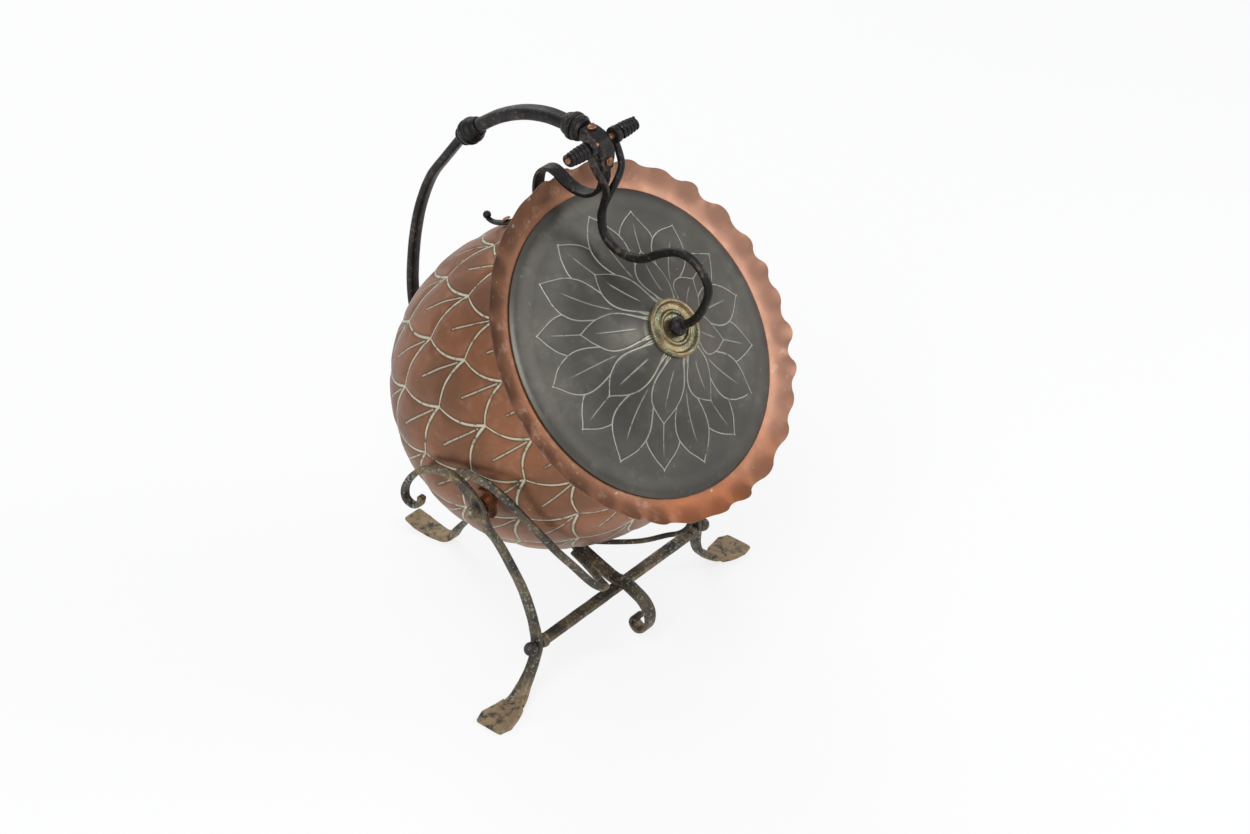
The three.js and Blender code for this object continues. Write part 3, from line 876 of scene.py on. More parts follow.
def closed_and_outward(piece: bpy.types.Object, sharp_degrees: float = 38.0) -> None:
    """Turns a closed mesh's faces outwards and keeps its corners crisp.

    Args:
        piece: the piece to change.
        sharp_degrees: the angle from which an edge is kept crisp.
    """
    work = bmesh.new()
    work.from_mesh(piece.data)
    bmesh.ops.recalc_face_normals(work, faces=work.faces)
    if work.calc_volume(signed=True) < 0:
        bmesh.ops.reverse_faces(work, faces=work.faces)
    work.to_mesh(piece.data)
    work.free()
    piece.data.set_sharp_from_angle(angle=math.radians(sharp_degrees))


class Maker:
    """Builds pieces from node trees, dresses them and puts them on their bodies."""

    def __init__(self, site: Site) -> None:
        """Builds the node trees once.

        Args:
            site: the places and materials.
        """
        self.site = site
        self.bar_tree = self._bar_tree()
        self.rivet_tree = self._rivet_tree()
        self.spin_trees: dict[str, bpy.types.NodeTree] = {}

    @staticmethod
    def _new_tree(name: str, inputs: Iterable[tuple[str, str]]) -> tuple[Graph, bpy.types.Node]:
        """A geometry node tree with named inputs, and its input node.

        Args:
            name: the tree's name.
            inputs: the name and socket type of each input.

        Returns:
            The graph and its input node.
        """
        tree = bpy.data.node_groups.new(name, "GeometryNodeTree")
        tree.interface.new_socket("Geometry", in_out="INPUT", socket_type="NodeSocketGeometry")
        for key, kind in inputs:
            tree.interface.new_socket(key, in_out="INPUT", socket_type=kind)
        tree.interface.new_socket("Geometry", in_out="OUTPUT", socket_type="NodeSocketGeometry")
        graph = Graph(tree)
        return graph, graph.node("NodeGroupInput")

    @staticmethod
    def _close_tree(graph: Graph, geometry: Socket, material: Socket) -> bpy.types.NodeTree:
        """Ends a tree in Realize Instances and Set Material.

        Args:
            graph: the graph to build in.
            geometry: the geometry to finish.
            material: the material to set.

        Returns:
            The finished tree.
        """
        real = graph.node("GeometryNodeRealizeInstances", Geometry=geometry)
        dressed = graph.node("GeometryNodeSetMaterial", Geometry=graph.out(real), Material=material)
        graph.node("NodeGroupOutput", Geometry=graph.out(dressed))
        return graph.tree

    @staticmethod
    def _sheet(graph: Graph, source: Socket, sides: Socket) -> tuple[Socket, Socket, Socket]:
        """A grid with a row for each source point.

        Args:
            graph: the graph to build in.
            source: the points that the tree builds on.
            sides: the number of points in a row.

        Returns:
            The grid, its row number and its share round from 0 to 1.
        """
        size = graph.node("GeometryNodeAttributeDomainSize", {"component": "MESH"}, Geometry=source)
        grid = graph.node(
            "GeometryNodeMeshGrid",
            Size_X=1.0,
            Size_Y=1.0,
            Vertices_X=graph.out(size, "Point Count"),
            Vertices_Y=sides,
        )
        index = graph.out(graph.node("GeometryNodeInputIndex"))
        row = graph.math("FLOOR", (index + 0.25) / sides)
        column = index - row * sides
        return graph.out(grid, "Mesh"), row, column / (sides - 1.0)

    @staticmethod
    def _sampled(graph: Graph, source: Socket, key: str, row: Socket) -> Socket:
        """A vector attribute of the source point that a row belongs to.

        Args:
            graph: the graph to build in.
            source: the points that the tree builds on.
            key: the attribute's name, or position.
            row: the row number.

        Returns:
            The sampled vector.
        """
        named = graph.node(
            "GeometryNodeInputNamedAttribute", {"data_type": "FLOAT_VECTOR"}, Name=key
        )
        value = (
            graph.out(graph.node("GeometryNodeInputPosition"))
            if key == "position"
            else graph.out(named, "Attribute")
        )
        picked = graph.node(
            "GeometryNodeSampleIndex",
            {"data_type": "FLOAT_VECTOR", "domain": "POINT"},
            Geometry=source,
            Value=value,
            Index=row,
        )
        return graph.out(picked, "Value")

    def _finish_sheet(
        self, graph: Graph, sheet: Socket, place: Socket, spot: Socket, material: Socket
    ) -> bpy.types.NodeTree:
        """Places a sheet's points, stores its pattern map, closes its seam and dresses it.

        Args:
            graph: the graph to build in.
            sheet: the grid.
            place: where each point goes.
            spot: the pattern coordinates of each point.
            material: the material to set.

        Returns:
            The finished tree.
        """
        stored = graph.node(
            "GeometryNodeStoreNamedAttribute",
            {"data_type": "FLOAT_VECTOR", "domain": "POINT"},
            Geometry=sheet,
            Name="spot",
            Value=spot,
        )
        moved = graph.node("GeometryNodeSetPosition", Geometry=graph.out(stored), Position=place)
        kept = graph.node(
            "GeometryNodeInputNamedAttribute", {"data_type": "FLOAT_VECTOR"}, Name="spot"
        )
        mapped = graph.node(
            "GeometryNodeStoreNamedAttribute",
            {"data_type": "FLOAT2", "domain": "CORNER"},
            Geometry=graph.out(moved),
            Name=BudShell.PATTERN,
            Value=graph.out(kept, "Attribute"),
        )
        merged = graph.node(
            "GeometryNodeMergeByDistance", Geometry=graph.out(mapped), Distance=MM * 0.004
        )
        smooth = graph.node("GeometryNodeSetShadeSmooth", Geometry=graph.out(merged))
        return self._close_tree(graph, graph.out(smooth), material)

    def _bar_tree(self) -> bpy.types.NodeTree:
        """A tree that sweeps a rounded section along points, with hammer marks.

        Returns:
            The finished tree.
        """
        graph, given = self._new_tree(
            "forged bar",
            (
                ("Sides", "NodeSocketInt"),
                ("Squareness", "NodeSocketFloat"),
                ("Hammer", "NodeSocketFloat"),
                ("Material", "NodeSocketMaterial"),
            ),
        )
        source = graph.out(given, "Geometry")
        sheet, row, share = self._sheet(graph, source, graph.out(given, "Sides"))
        turn = graph.math("FLOORED_MODULO", share, 1.0) * (2 * math.pi)
        power = 2.0 / graph.out(given, "Squareness")
        cosine = graph.math("COSINE", turn)
        sine = graph.math("SINE", turn)
        wide_part = graph.math("SIGN", cosine) * abs(cosine) ** power
        deep_part = graph.math("SIGN", sine) * abs(sine) ** power
        half_wide, half_deep, along = graph.split(self._sampled(graph, source, "size", row))
        centre = self._sampled(graph, source, "position", row)
        sideways = graph.scaled(self._sampled(graph, source, "wide", row), wide_part * half_wide)
        deepways = graph.scaled(self._sampled(graph, source, "deep", row), deep_part * half_deep)
        offset = graph.vector("ADD", sideways, deepways)
        place = graph.vector("ADD", centre, offset)
        dents = graph.noise(place, 75.0, 2.0, 0.5) - 0.5
        swell = 1.0 + dents * graph.out(given, "Hammer")
        place = graph.vector("ADD", centre, graph.scaled(offset, swell))
        spot = graph.joined(share, along, 0.0)
        return self._finish_sheet(graph, sheet, place, spot, graph.out(given, "Material"))

    def _rivet_tree(self) -> bpy.types.NodeTree:
        """A tree that sets a domed head on each point, along its normal.

        Returns:
            The finished tree.
        """
        graph, given = self._new_tree("rivet heads", (("Material", "NodeSocketMaterial"),))
        source = graph.out(given, "Geometry")
        ball = graph.node("GeometryNodeMeshUVSphere", Segments=28, Rings=18, Radius=1.0)
        x, y, z = graph.split(graph.out(graph.node("GeometryNodeInputPosition")))
        low = graph.math("MAXIMUM", z, -0.25)
        flat = graph.node(
            "GeometryNodeSetPosition",
            Geometry=graph.out(ball, "Mesh"),
            Position=graph.joined(x, y, low),
        )
        smooth = graph.node("GeometryNodeSetShadeSmooth", Geometry=graph.out(flat))
        out = graph.node("GeometryNodeInputNamedAttribute", {"data_type": "FLOAT_VECTOR"}, Name="out")
        size = graph.node(
            "GeometryNodeInputNamedAttribute", {"data_type": "FLOAT_VECTOR"}, Name="size"
        )
        turn = graph.node(
            "FunctionNodeAlignRotationToVector", {"axis": "Z"}, Vector=graph.out(out, "Attribute")
        )
        heads = graph.node(
            "GeometryNodeInstanceOnPoints",
            Points=source,
            Instance=graph.out(smooth),
            Rotation=graph.out(turn),
            Scale=graph.out(size, "Attribute"),
        )
        return self._close_tree(graph, graph.out(heads), graph.out(given, "Material"))

    def spin_tree(self, name: str, relief: "Relief | None") -> bpy.types.NodeTree:
        """A tree that spins a profile about an axis, with a relief on it.

        Args:
            name: the tree's name; one tree is made for each.
            relief: a function that gives the relief's height, or None for a plain piece.

        Returns:
            The tree.
        """
        if name in self.spin_trees:
            return self.spin_trees[name]
        graph, given = self._new_tree(
            name,
            (
                ("Segments", "NodeSocketInt"),
                ("Start", "NodeSocketVector"),
                ("Axis", "NodeSocketVector"),
                ("Up", "NodeSocketVector"),
                ("Side", "NodeSocketVector"),
                ("Material", "NodeSocketMaterial"),
            ),
        )
        source = graph.out(given, "Geometry")
        sheet, row, share = self._sheet(graph, source, graph.out(given, "Segments"))
        turn = share * (2 * math.pi)
        radius, height, mark = graph.split(self._sampled(graph, source, "size", row))
        lift_out, lift_along, amount = graph.split(self._sampled(graph, source, "lift", row))
        if relief:
            raised = relief(graph, turn, mark) * amount
            radius = radius + raised * lift_out
            height = height + raised * lift_along
        up = graph.scaled(graph.out(given, "Up"), graph.math("COSINE", turn) * radius)
        side = graph.scaled(graph.out(given, "Side"), graph.math("SINE", turn) * radius)
        along = graph.scaled(graph.out(given, "Axis"), height)
        place = graph.vector("ADD", graph.vector("ADD", up, side), along)
        place = graph.vector("ADD", graph.out(given, "Start"), place)
        spot = graph.joined(turn, mark, 0.0)
        tree = self._finish_sheet(graph, sheet, place, spot, graph.out(given, "Material"))
        self.spin_trees[name] = tree
        return tree

    def place(self, piece: bpy.types.Object, body: Body, slot: Slot, *nodes: str) -> bpy.types.Object:
        """Puts a finished piece on its body in place of CAD nodes.

        Args:
            piece: the finished piece.
            body: the body it rides on.
            slot: the material slot of its finish; not used.
            nodes: the CAD nodes that it stands for.

        Returns:
            The piece.
        """
        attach(piece, body.value)
        if nodes:
            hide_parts(*nodes)
        LOG.info("%s: %d faces on %s", piece.name, len(piece.data.polygons), body.value)
        return piece

    def bar(
        self,
        name: str,
        points: Sequence[Vector],
        widths: float | Sequence[float],
        depths: float | Sequence[float],
        slot: Slot,
        width_axis: Callable[[Vector], Vector] = lambda tangent: Vector((1.0, 0.0, 0.0)),
        squareness: float = 4.5,
        hammer: float = 0.10,
        sides: int = 28,
        samples: int = 8,
        end_rounding: float = 0.8,
    ) -> bpy.types.Object:
        """A forged bar along a path.

        Args:
            name: the piece's name.
            points: the places that its middle line goes through.
            widths: full widths at the points, in millimetres.
            depths: full depths at the points, in millimetres.
            slot: the material slot.
            width_axis: the direction of the width for a tangent.
            squareness: 2 for an ellipse, more for a squarer section.
            hammer: the share by which hammer marks swell and shrink the section.
            sides: points round the section.
            samples: steps between two points of the path.
            end_rounding: how far in millimetres the ends are rounded off.

        Returns:
            The bar.
        """
        path = centripetal(points, samples)
        rows: list[tuple[Vector, Vector, float, float]] = []
        last = len(path) - 1
        for i, centre in enumerate(path):
            tangent = (path[min(i + 1, last)] - path[max(i - 1, 0)]).normalized()
            rows.append((centre, tangent, spread(widths, i / last), spread(depths, i / last)))
        first, final = rows[0], rows[-1]
        inset = end_rounding * MM
        start = [
            (first[0], first[1], 0.0, 0.0),
            (first[0], first[1], max(first[2] - 2 * end_rounding, 0.2),
                max(first[3] - 2 * end_rounding, 0.2)),
            (first[0] + first[1] * inset, first[1], first[2], first[3]),
        ]
        stop = [
            (final[0] - final[1] * inset, final[1], final[2], final[3]),
            (final[0], final[1], max(final[2] - 2 * end_rounding, 0.2),
                max(final[3] - 2 * end_rounding, 0.2)),
            (final[0], final[1], 0.0, 0.0),
        ]
        rows = [*start, *rows[1:-1], *stop]
        wides, deeps, sizes = [], [], []
        length = 0.0
        for i, (centre, tangent, wide_size, deep_size) in enumerate(rows):
            length += (centre - rows[max(i - 1, 0)][0]).length
            wide = width_axis(tangent)
            wide = (wide - tangent * wide.dot(tangent)).normalized()
            wides.append(wide)
            deeps.append(tangent.cross(wide))
            sizes.append((wide_size / 2 * MM, deep_size / 2 * MM, length * 10))
        piece = new_mesh_object(
            name, [row[0] for row in rows], wide=wides, deep=deeps, size=sizes
        )
        baked(
            piece,
            self.bar_tree,
            {
                "Sides": sides + 1,
                "Squareness": squareness,
                "Hammer": hammer,
                "Material": self.site.materials[slot],
            },
        )
        closed_and_outward(piece)
        return piece

    def turned(
        self,
        name: str,
        profile: Sequence[tuple[float, float]],
        start: Vector,
        axis: Vector,
        slot: Slot,
        segments: int = 96,
        marks: Sequence[float] | None = None,
        amounts: Sequence[float] | None = None,
        lifts: Sequence[tuple[float, float]] | None = None,
        relief: "Relief | None" = None,
        up: Vector | None = None,
        side: Vector | None = None,
    ) -> bpy.types.Object:
        """A piece turned about an axis.

        Args:
            name: the piece's name.
            profile: radius and height pairs in millimetres, closed or from axis to axis.
            start: where height 0 lies.
            axis: the direction of the height.
            slot: the material slot.
            segments: steps round the axis.
            marks: a pattern value for each profile point.
            amounts: how much of the relief each profile point takes, in millimetres.
            lifts: the relief's direction at each profile point, outwards and along the axis.
            relief: the relief's height round the piece.
            up: the direction of angle 0.
            side: the direction of a quarter turn.

        Returns:
            The piece.
        """
        count = len(profile)
        marks = marks or [0.0] * count
        amounts = amounts or [0.0] * count
        lifts = lifts or [(0.0, 0.0)] * count
        axis = axis.normalized()
        if up is None:
            up = axis.orthogonal().normalized()
        if side is None:
            side = axis.cross(up).normalized()
        piece = new_mesh_object(
            name,
            [Vector((i * MM, 0, 0)) for i in range(count)],
            size=[(r * MM, h * MM, mark) for (r, h), mark in zip(profile, marks)],
            lift=[(out, along, amount * MM) for (out, along), amount in zip(lifts, amounts)],
        )
        baked(
            piece,
            self.spin_tree(relief.__name__ if relief else "turned piece", relief),
            {
                "Segments": segments + 1,
                "Start": tuple(start),
                "Axis": tuple(axis),
                "Up": tuple(up),
                "Side": tuple(side),
                "Material": self.site.materials[slot],
            },
        )
        closed_and_outward(piece)
        return piece

    def rivets(
        self, name: str, heads: Sequence[tuple[Vector, Vector, float, float]], slot: Slot
    ) -> bpy.types.Object:
        """Domed rivet heads.

        Args:
            name: the piece's name.
            heads: the seat, direction, radius and height of each head, in millimetres.
            slot: the material slot.

        Returns:
            All the heads as one piece.
        """
        piece = new_mesh_object(
            name,
            [seat for seat, _, _, _ in heads],
            out=[tuple(out.normalized()) for _, out, _, _ in heads],
            size=[(radius * MM, radius * MM, height * MM) for _, _, radius, height in heads],
        )
        baked(piece, self.rivet_tree, {"Material": self.site.materials[slot]})
        return piece


Relief = Callable[[Graph, Socket, Socket], Socket]


def softened(profile: Sequence[tuple[float, float]], radius: float,
    steps: int = 4) -> list[tuple[float, float]]:
    """A profile whose corners are rounded by short arcs.

    Args:
        profile: radius and height pairs.
        radius: how far from a corner its arc begins, at most a third of the shorter side.
        steps: points on each arc.

    Returns:
        The rounded profile.
    """
    result = [profile[0]]
    for before, corner, after in zip(profile, profile[1:], profile[2:]):
        a, b, c = (np.array(p, float) for p in (before, corner, after))
        into, out = a - b, c - b
        reach = min(radius, np.linalg.norm(into) / 3, np.linalg.norm(out) / 3)
        first = b + into / max(np.linalg.norm(into), 1e-9) * reach
        last = b + out / max(np.linalg.norm(out), 1e-9) * reach
        for step in range(steps + 1):
            t = step / steps
            point = first * (1 - t) ** 2 + b * 2 * t * (1 - t) + last * t**2
            result.append((float(point[0]), float(point[1])))
    result.append(profile[-1])
    return result


# ---- The bucket ---------------------------------------------------------------------------------


def bud_relief(graph: Graph, turn: Socket, row: Socket) -> Socket:
    """The chased scales, pressed in from the plain outline round each one and along its rib.

    Args:
        graph: the graph to build in.
        turn: the angle round the bucket, in radians.
        row: the place along the bucket, where tips lie on whole numbers.

    Returns:
        The relief, from 0 down.
    """
    scales = (turn + math.radians(BudShell.TWIST)) * (BudShell.AROUND / (2 * math.pi))
    edge, rib, pillow = scale_marks(graph, scales, row)
    groove = graph.smooth(edge, 0.03, 0.0)
    rib_groove = graph.smooth(rib, 0.03, 0.0)
    fade = graph.smooth(row, 7.8, 6.4)
    return (pillow - 1.0 - groove * 0.25 - rib_groove * 0.35) * fade


@dataclass
class BudShell:
    """The bucket's scaled shell."""

    PATTERN = "pattern"
    TWIST = 2.5
    AROUND = 15

    neck: float = 124.4
    belly: float = 156.0
    belly_depth: float = 125.0
    depth: float = 270.0
    roundness: float = 2.6
    drop: float = 2.0
    sheet: float = 2.0
    setback: float = 2.2
    relief: float = 1.1
    rows: tuple[float, ...] = (-4.0, 36.0, 71.0, 115.0, 164.0, 211.0, 245.0, 262.0, 270.0)

    def radius(self, depth: float) -> float:
        """The outer radius at a depth behind the lid's seat.

        Args:
            depth: the depth behind the lid's seat, in millimetres.

        Returns:
            The radius in millimetres.
        """
        if depth <= self.belly_depth:
            part = math.sin(math.pi / 2 * max(depth, 0.0) / self.belly_depth)
            return self.neck + (self.belly - self.neck) * part**1.1
        part = min((depth - self.belly_depth) / (self.depth - self.belly_depth), 1.0)
        return self.belly * (1 - part**self.roundness) ** (1 / self.roundness)

    def outline(self, front_steps: int, rear_steps: int) -> list[tuple[float, float]]:
        """Radius and depth pairs from the mouth to the rear pole.

        Args:
            front_steps: steps from the mouth to the belly.
            rear_steps: steps from the belly to the pole.

        Returns:
            The radius and depth pairs, in millimetres.
        """
        outline = []
        for i in range(front_steps):
            depth = self.setback + (self.belly_depth - self.setback) * i / front_steps
            outline.append((self.radius(depth), depth))
        power = 2 / self.roundness
        for i in range(rear_steps + 1):
            turn = math.pi / 2 * i / rear_steps
            depth = self.belly_depth + (self.depth - self.belly_depth) * math.sin(turn) ** power
            radius = 0.0 if i == rear_steps else self.belly * math.cos(turn) ** power
            outline.append((radius, depth))
        return outline

    def build(self, maker: Maker) -> None:
        """Builds the shell with its scales and its plain inside.

        Args:
            maker: makes the pieces.
        """
        site = maker.site
        outer = self.outline(66, 100)
        profile, marks, amounts, lifts = [], [], [], []
        for i, (radius, depth) in enumerate(outer):
            before, after = outer[max(i - 1, 0)], outer[min(i + 1, len(outer) - 1)]
            run = np.array([after[0] - before[0], after[1] - before[1]])
            normal = np.array([run[1], -run[0]]) / np.linalg.norm(run)
            mark = scale_row(depth, self.rows)
            profile.append((radius, depth))
            marks.append(mark)
            amounts.append(self.relief)
            lifts.append((float(normal[0]), float(normal[1])) if radius > 0 else (0.0, 1.0))
        inner = [(max(r - self.sheet, 0.0), d - self.sheet * (1.0 if r == 0 else 0.35)) for r,
            d in self.outline(12, 24)]
        for radius, depth in reversed(inner):
            profile.append((radius, depth))
            marks.append(20.0)
            amounts.append(0.0)
            lifts.append((0.0, 0.0))
        profile.append(profile[0])
        marks.append(marks[0])
        amounts.append(amounts[0])
        lifts.append(lifts[0])
        shell = maker.turned(
            "bud_shell",
            profile,
            site.from_seat(0.0, -self.drop),
            -site.mouth_axis,
            Slot.COPPER,
            segments=450,
            marks=marks,
            amounts=amounts,
            lifts=lifts,
            relief=bud_relief,
            up=site.mouth_up,
            side=Vector((1.0, 0.0, 0.0)),
        )
        self._rescale_pattern(shell)
        maker.place(shell, Body.BUCKET, Slot.COPPER, "bucket_shell")

    def _rescale_pattern(self, shell: bpy.types.Object) -> None:
        """Turns the pattern map's angles into a count of scales.

        Args:
            shell: the finished shell.
        """
        layer = shell.data.attributes[self.PATTERN]
        values = np.zeros(len(layer.data) * 2, np.float32)
        layer.data.foreach_get("vector", values)
        values[0::2] = (values[0::2] + math.radians(self.TWIST)) * self.AROUND / (2 * math.pi)
        layer.data.foreach_set("vector", values)


def ruffle(graph: Graph, turn: Socket, mark: Socket) -> Socket:
    """The rim's uneven waves, as a height from -1 to 1.

    Args:
        graph: the graph to build in.
        turn: the angle round the piece, in radians.
        mark: the profile point's pattern value; not used.

    Returns:
        The wave's height.
    """
    uneven = graph.math("SINE", turn * 3.0 + 1.0) * 1.1 + graph.math("SINE", turn * 8.0) * 0.6
    wave = graph.math("SINE", turn * 30.0 + uneven - math.pi / 2)
    sharp = graph.math("SIGN", wave) * abs(wave) ** 0.8
    swing = graph.math("SINE", turn * 7.0) * 0.3 + graph.math("SINE", turn * 12.0 + 2.0) * 0.25
    return sharp * (1.0 + swing)


@dataclass
class FrilledRim:
    """The flared collar with the ruffled edge."""

    lid_radius: float = 145.0
    radius: float = 169.0
    rise: float = 7.0
    sheet: float = 1.6
    sleeve: float = 120.0
    sleeve_length: float = 18.0
    gap: float = 0.3
    steps: int = 14

    def build(self, maker: Maker) -> None:
        """Builds the rim.

        Args:
            maker: makes the pieces.
        """
        site = maker.site
        floor = -self.gap
        inner = self.lid_radius + 2
        flare = []
        for i in range(self.steps + 1):
            t = i / self.steps
            flare.append((inner + (self.radius - inner) * t, floor + (self.rise - floor) * t**1.7,
                t**2.6))
        front = [
            (self.sleeve - self.sheet, -self.sleeve_length, 0.0),
            (self.sleeve - self.sheet, -2.0, 0.0),
            (self.sleeve + 2, floor, 0.0),
            *flare,
        ]
        back = [(r, f - self.sheet, w) for r, f, w in reversed(flare)]
        back += [(self.sleeve, floor - self.sheet, 0.0), (self.sleeve, -self.sleeve_length, 0.0)]
        loop = [*front, *back, front[0]]
        rim = maker.turned(
            "ruffled_rim",
            [(r, f) for r, f, _ in loop],
            site.seat,
            site.mouth_axis,
            Slot.RIM,
            segments=720,
            marks=[r for r, _, _ in loop],
            amounts=[w for _, _, w in loop],
            lifts=[(1.3, 2.3)] * len(loop),
            relief=ruffle,
            up=site.mouth_up,
            side=Vector((1.0, 0.0, 0.0)),
        )
        maker.place(rim, Body.BUCKET, Slot.RIM, "frilled_rim")


@dataclass
class Handle:
    """The carrying handle with its collars, head, crossbar, finials and strap."""

    rear_bar: float = 12.5
    rear_bar_depth: float = 8.5
    grip_width: float = 16.5
    grip_depth: float = 13.0
    collar: float = 12.6
    foot_sheet: float = 5.0
    finial_tip: float = 47.5
    finial_radius: float = 8.0
    finial_start: float = 20.35
    pin_radius: float = 3.0
    strap_width: float = 13.5
    strap_sheet: float = 4.0

    def build(self, maker: Maker, shell: BudShell) -> None:
        """Builds every piece of the handle.

        Args:
            maker: makes the pieces.
            shell: the bucket that the handle stands on.
        """
        self._rear_bar(maker, shell)
        self._grip(maker)
        self._collars(maker)
        self._head(maker)
        self._finials(maker)
        self._strap(maker, shell)

    def _foot(self, site: Site, shell: BudShell, up: float) -> Vector:
        """A place on the handle's foot, which lies on the rear pole."""
        return site.from_seat(-(shell.depth + 0.3 + self.foot_sheet / 2), up - shell.drop)

    def _rear_bar(self, maker: Maker, shell: BudShell) -> None:
        """The rear bar, from the collar down to the foot on the rear pole.

        Args:
            maker: makes the pieces.
            shell: the bucket that the handle stands on.
        """
        site = maker.site
        path = [
            (216.9, 483.9), (240, 453.3), (257.1, 429.7), (273.3, 393.2), (282.8, 358.5),
            (288.2, 325.3),
            (290.6, 296), (289, 272), (281.5, 250), (267.5, 233), (252, 220.5), (239.5, 211),
        ]
        points = [site.at(0, y, z) for y, z in path] + [self._foot(site, shell, up) for up in (33,
            16, 0, -14)]
        widths = [self.rear_bar] * 9 + [13, 13.5, 14, 15.5, 18, 18, 12]
        depths = [self.rear_bar_depth] * 10 + [7.5, 6.5, 5, 5, 5, 4]
        bar = maker.bar("rear_bar", points, widths, depths, Slot.BLACK_IRON, squareness=3.2,
            hammer=0.07)
        maker.place(bar, Body.BUCKET, Slot.BLACK_IRON, "handle_bar_rear")
        seats = [self._foot(site, shell, up) - site.mouth_axis * (self.foot_sheet / 2 + 0.3) * MM for up in (20, -4)]
        heads = maker.rivets(
            "foot_rivets", [(seat, -site.mouth_axis, 4.8, 2.6) for seat in seats], Slot.RIVET
        )
        maker.place(heads, Body.BUCKET, Slot.RIVET, "foot_rivet_1", "foot_rivet_2")

    def _grip(self, maker: Maker) -> None:
        """The grip, thicker than the bars.

        Args:
            maker: makes the pieces.
        """
        site = maker.site
        path = [(88.9, 545.7), (111, 544.9), (136.9, 538.5), (166.2, 524.6), (192.9, 505.9)]
        widths = [self.grip_width - 1, self.grip_width, self.grip_width, self.grip_width,
            self.grip_width - 2]
        bar = maker.bar(
            "grip",
            [site.at(0, y, z) for y, z in path],
            widths,
            self.grip_depth,
            Slot.BLACK_IRON,
            squareness=2.6,
            hammer=0.06,
            samples=16,
        )
        maker.place(bar, Body.BUCKET, Slot.BLACK_IRON, "handle_grip")

    def _collars(self, maker: Maker) -> None:
        """The egg-shaped rear collar with two grooves and the stepped front collar.

        Args:
            maker: makes the pieces.
        """
        site = maker.site
        half = 15.0
        edge = self.collar
        rear = [
            (0, -half), (7.5, -half), (9.8, -11.5), (8.8, -9), (edge - 0.6, -5.5), (edge, -2.4),
            (edge - 1.5, -1.6),
            (edge - 1.5, 1.6), (edge, 2.4), (edge - 0.6, 5.5), (9.2, 9), (10, 11.5), (8, half),
            (0, half),
        ]
        collar = maker.turned(
            "rear_collar",
            softened(rear, 1.2),
            site.at(0, 205.2, 494.7),
            Vector((0, 0.735, -0.678)),
            Slot.BLACK_IRON,
        )
        maker.place(collar, Body.BUCKET, Slot.BLACK_IRON, "handle_collar_rear")
        front = [
            (0, 0), (9.5, 0), (10.5, 3.2), (12, 3.9), (12.2, 7.4), (10.6, 8.3), (edge + 0.4, 9.2),
            (edge + 0.4, 13.4),
            (10.8, 14.6), (11, 17), (9.5, 21), (0, 21),
        ]
        collar = maker.turned(
            "front_collar",
            softened(front, 0.9),
            site.at(0, 67.4, 545.2),
            Vector((0, 1, 0.02)),
            Slot.BLACK_IRON,
        )
        maker.place(collar, Body.BUCKET, Slot.BLACK_IRON, "handle_collar_front")

    def _head(self, maker: Maker) -> None:
        """The head that the crossbar runs through, with two copper rivets.

        Args:
            maker: makes the pieces.
        """
        site = maker.site
        path = [(66.3, 544.6), (58, 543.4), (49.5, 538.8), (44.4, 529.5), (43.8, 514.5)]
        head = maker.bar(
            "handle_head_block",
            [site.at(0, y, z) for y, z in path],
            [19, 20, 20, 20, 16],
            [13, 12.4, 13, 9.6, 7],
            Slot.BLACK_IRON,
            squareness=5.0,
            samples=12,
        )
        maker.place(head, Body.BUCKET, Slot.BLACK_IRON, "handle_head")
        heads = [
            (site.at(0, 59.5, 551.2), Vector((0, 0.09, 1)), 4.6, 2.2),
            (site.at(0, 38.7, 524), Vector((0, -1, 0.03)), 4.6, 2.2),
        ]
        piece = maker.rivets("head_rivets", heads, Slot.RIVET)
        maker.place(piece, Body.BUCKET, Slot.RIVET, "head_rivet_1", "head_rivet_2")
        reach = self.finial_tip - 1.5
        pin = maker.turned(
            "crossbar",
            softened([(0, -reach), (self.pin_radius, -reach), (self.pin_radius, reach),
                (0, reach)], 0.6),
            site.hinge,
            Vector((1, 0, 0)),
            Slot.RIVET,
            segments=32,
        )
        maker.place(pin, Body.BUCKET, Slot.RIVET, "hinge_pin")

    def _finials(self, maker: Maker) -> None:
        """Cones wound from iron wire round the crossbar's ends.

        Args:
            maker: makes the pieces.
        """
        site = maker.site
        wire, turns, steps = 4.6, 5.2, 26
        for side, sign in (("left", -1.0), ("right", 1.0)):
            points = []
            count = int(turns * steps)
            for i in range(count + 1):
                t = i / count
                radius = self.finial_radius - wire / 2 - (self.finial_radius - self.pin_radius - 3.6) * t
                angle = 2 * math.pi * turns * t
                x = sign * (self.finial_start + wire / 2 + (self.finial_tip - self.finial_start - wire) * t)
                offset = Vector((x, radius * math.cos(angle), radius * math.sin(angle))) * MM
                points.append(site.hinge + offset)
            widths = [3.6, wire, wire, wire * 0.92, 3.6]
            coil = maker.bar(
                f"wound_finial_{side}",
                points,
                widths,
                widths,
                Slot.BLACK_IRON,
                squareness=2.0,
                hammer=0.12,
                sides=12,
                samples=1,
            )
            maker.place(coil, Body.BUCKET, Slot.BLACK_IRON, f"spiral_finial_{side}")

    def _strap(self, maker: Maker, shell: BudShell) -> None:
        """The scrolled strap over the rim, with its thin turned-up tail and ball.

        Args:
            maker: makes the pieces.
            shell: the bucket that the handle stands on.
        """
        site = maker.site
        lift = 0.3 + 3.6 / 2 + 0.7

        def on_top(depth: float, raised: float) -> Vector:
            """A place over the bucket's top line."""
            return site.from_seat(-depth, shell.radius(depth) - shell.drop + raised)

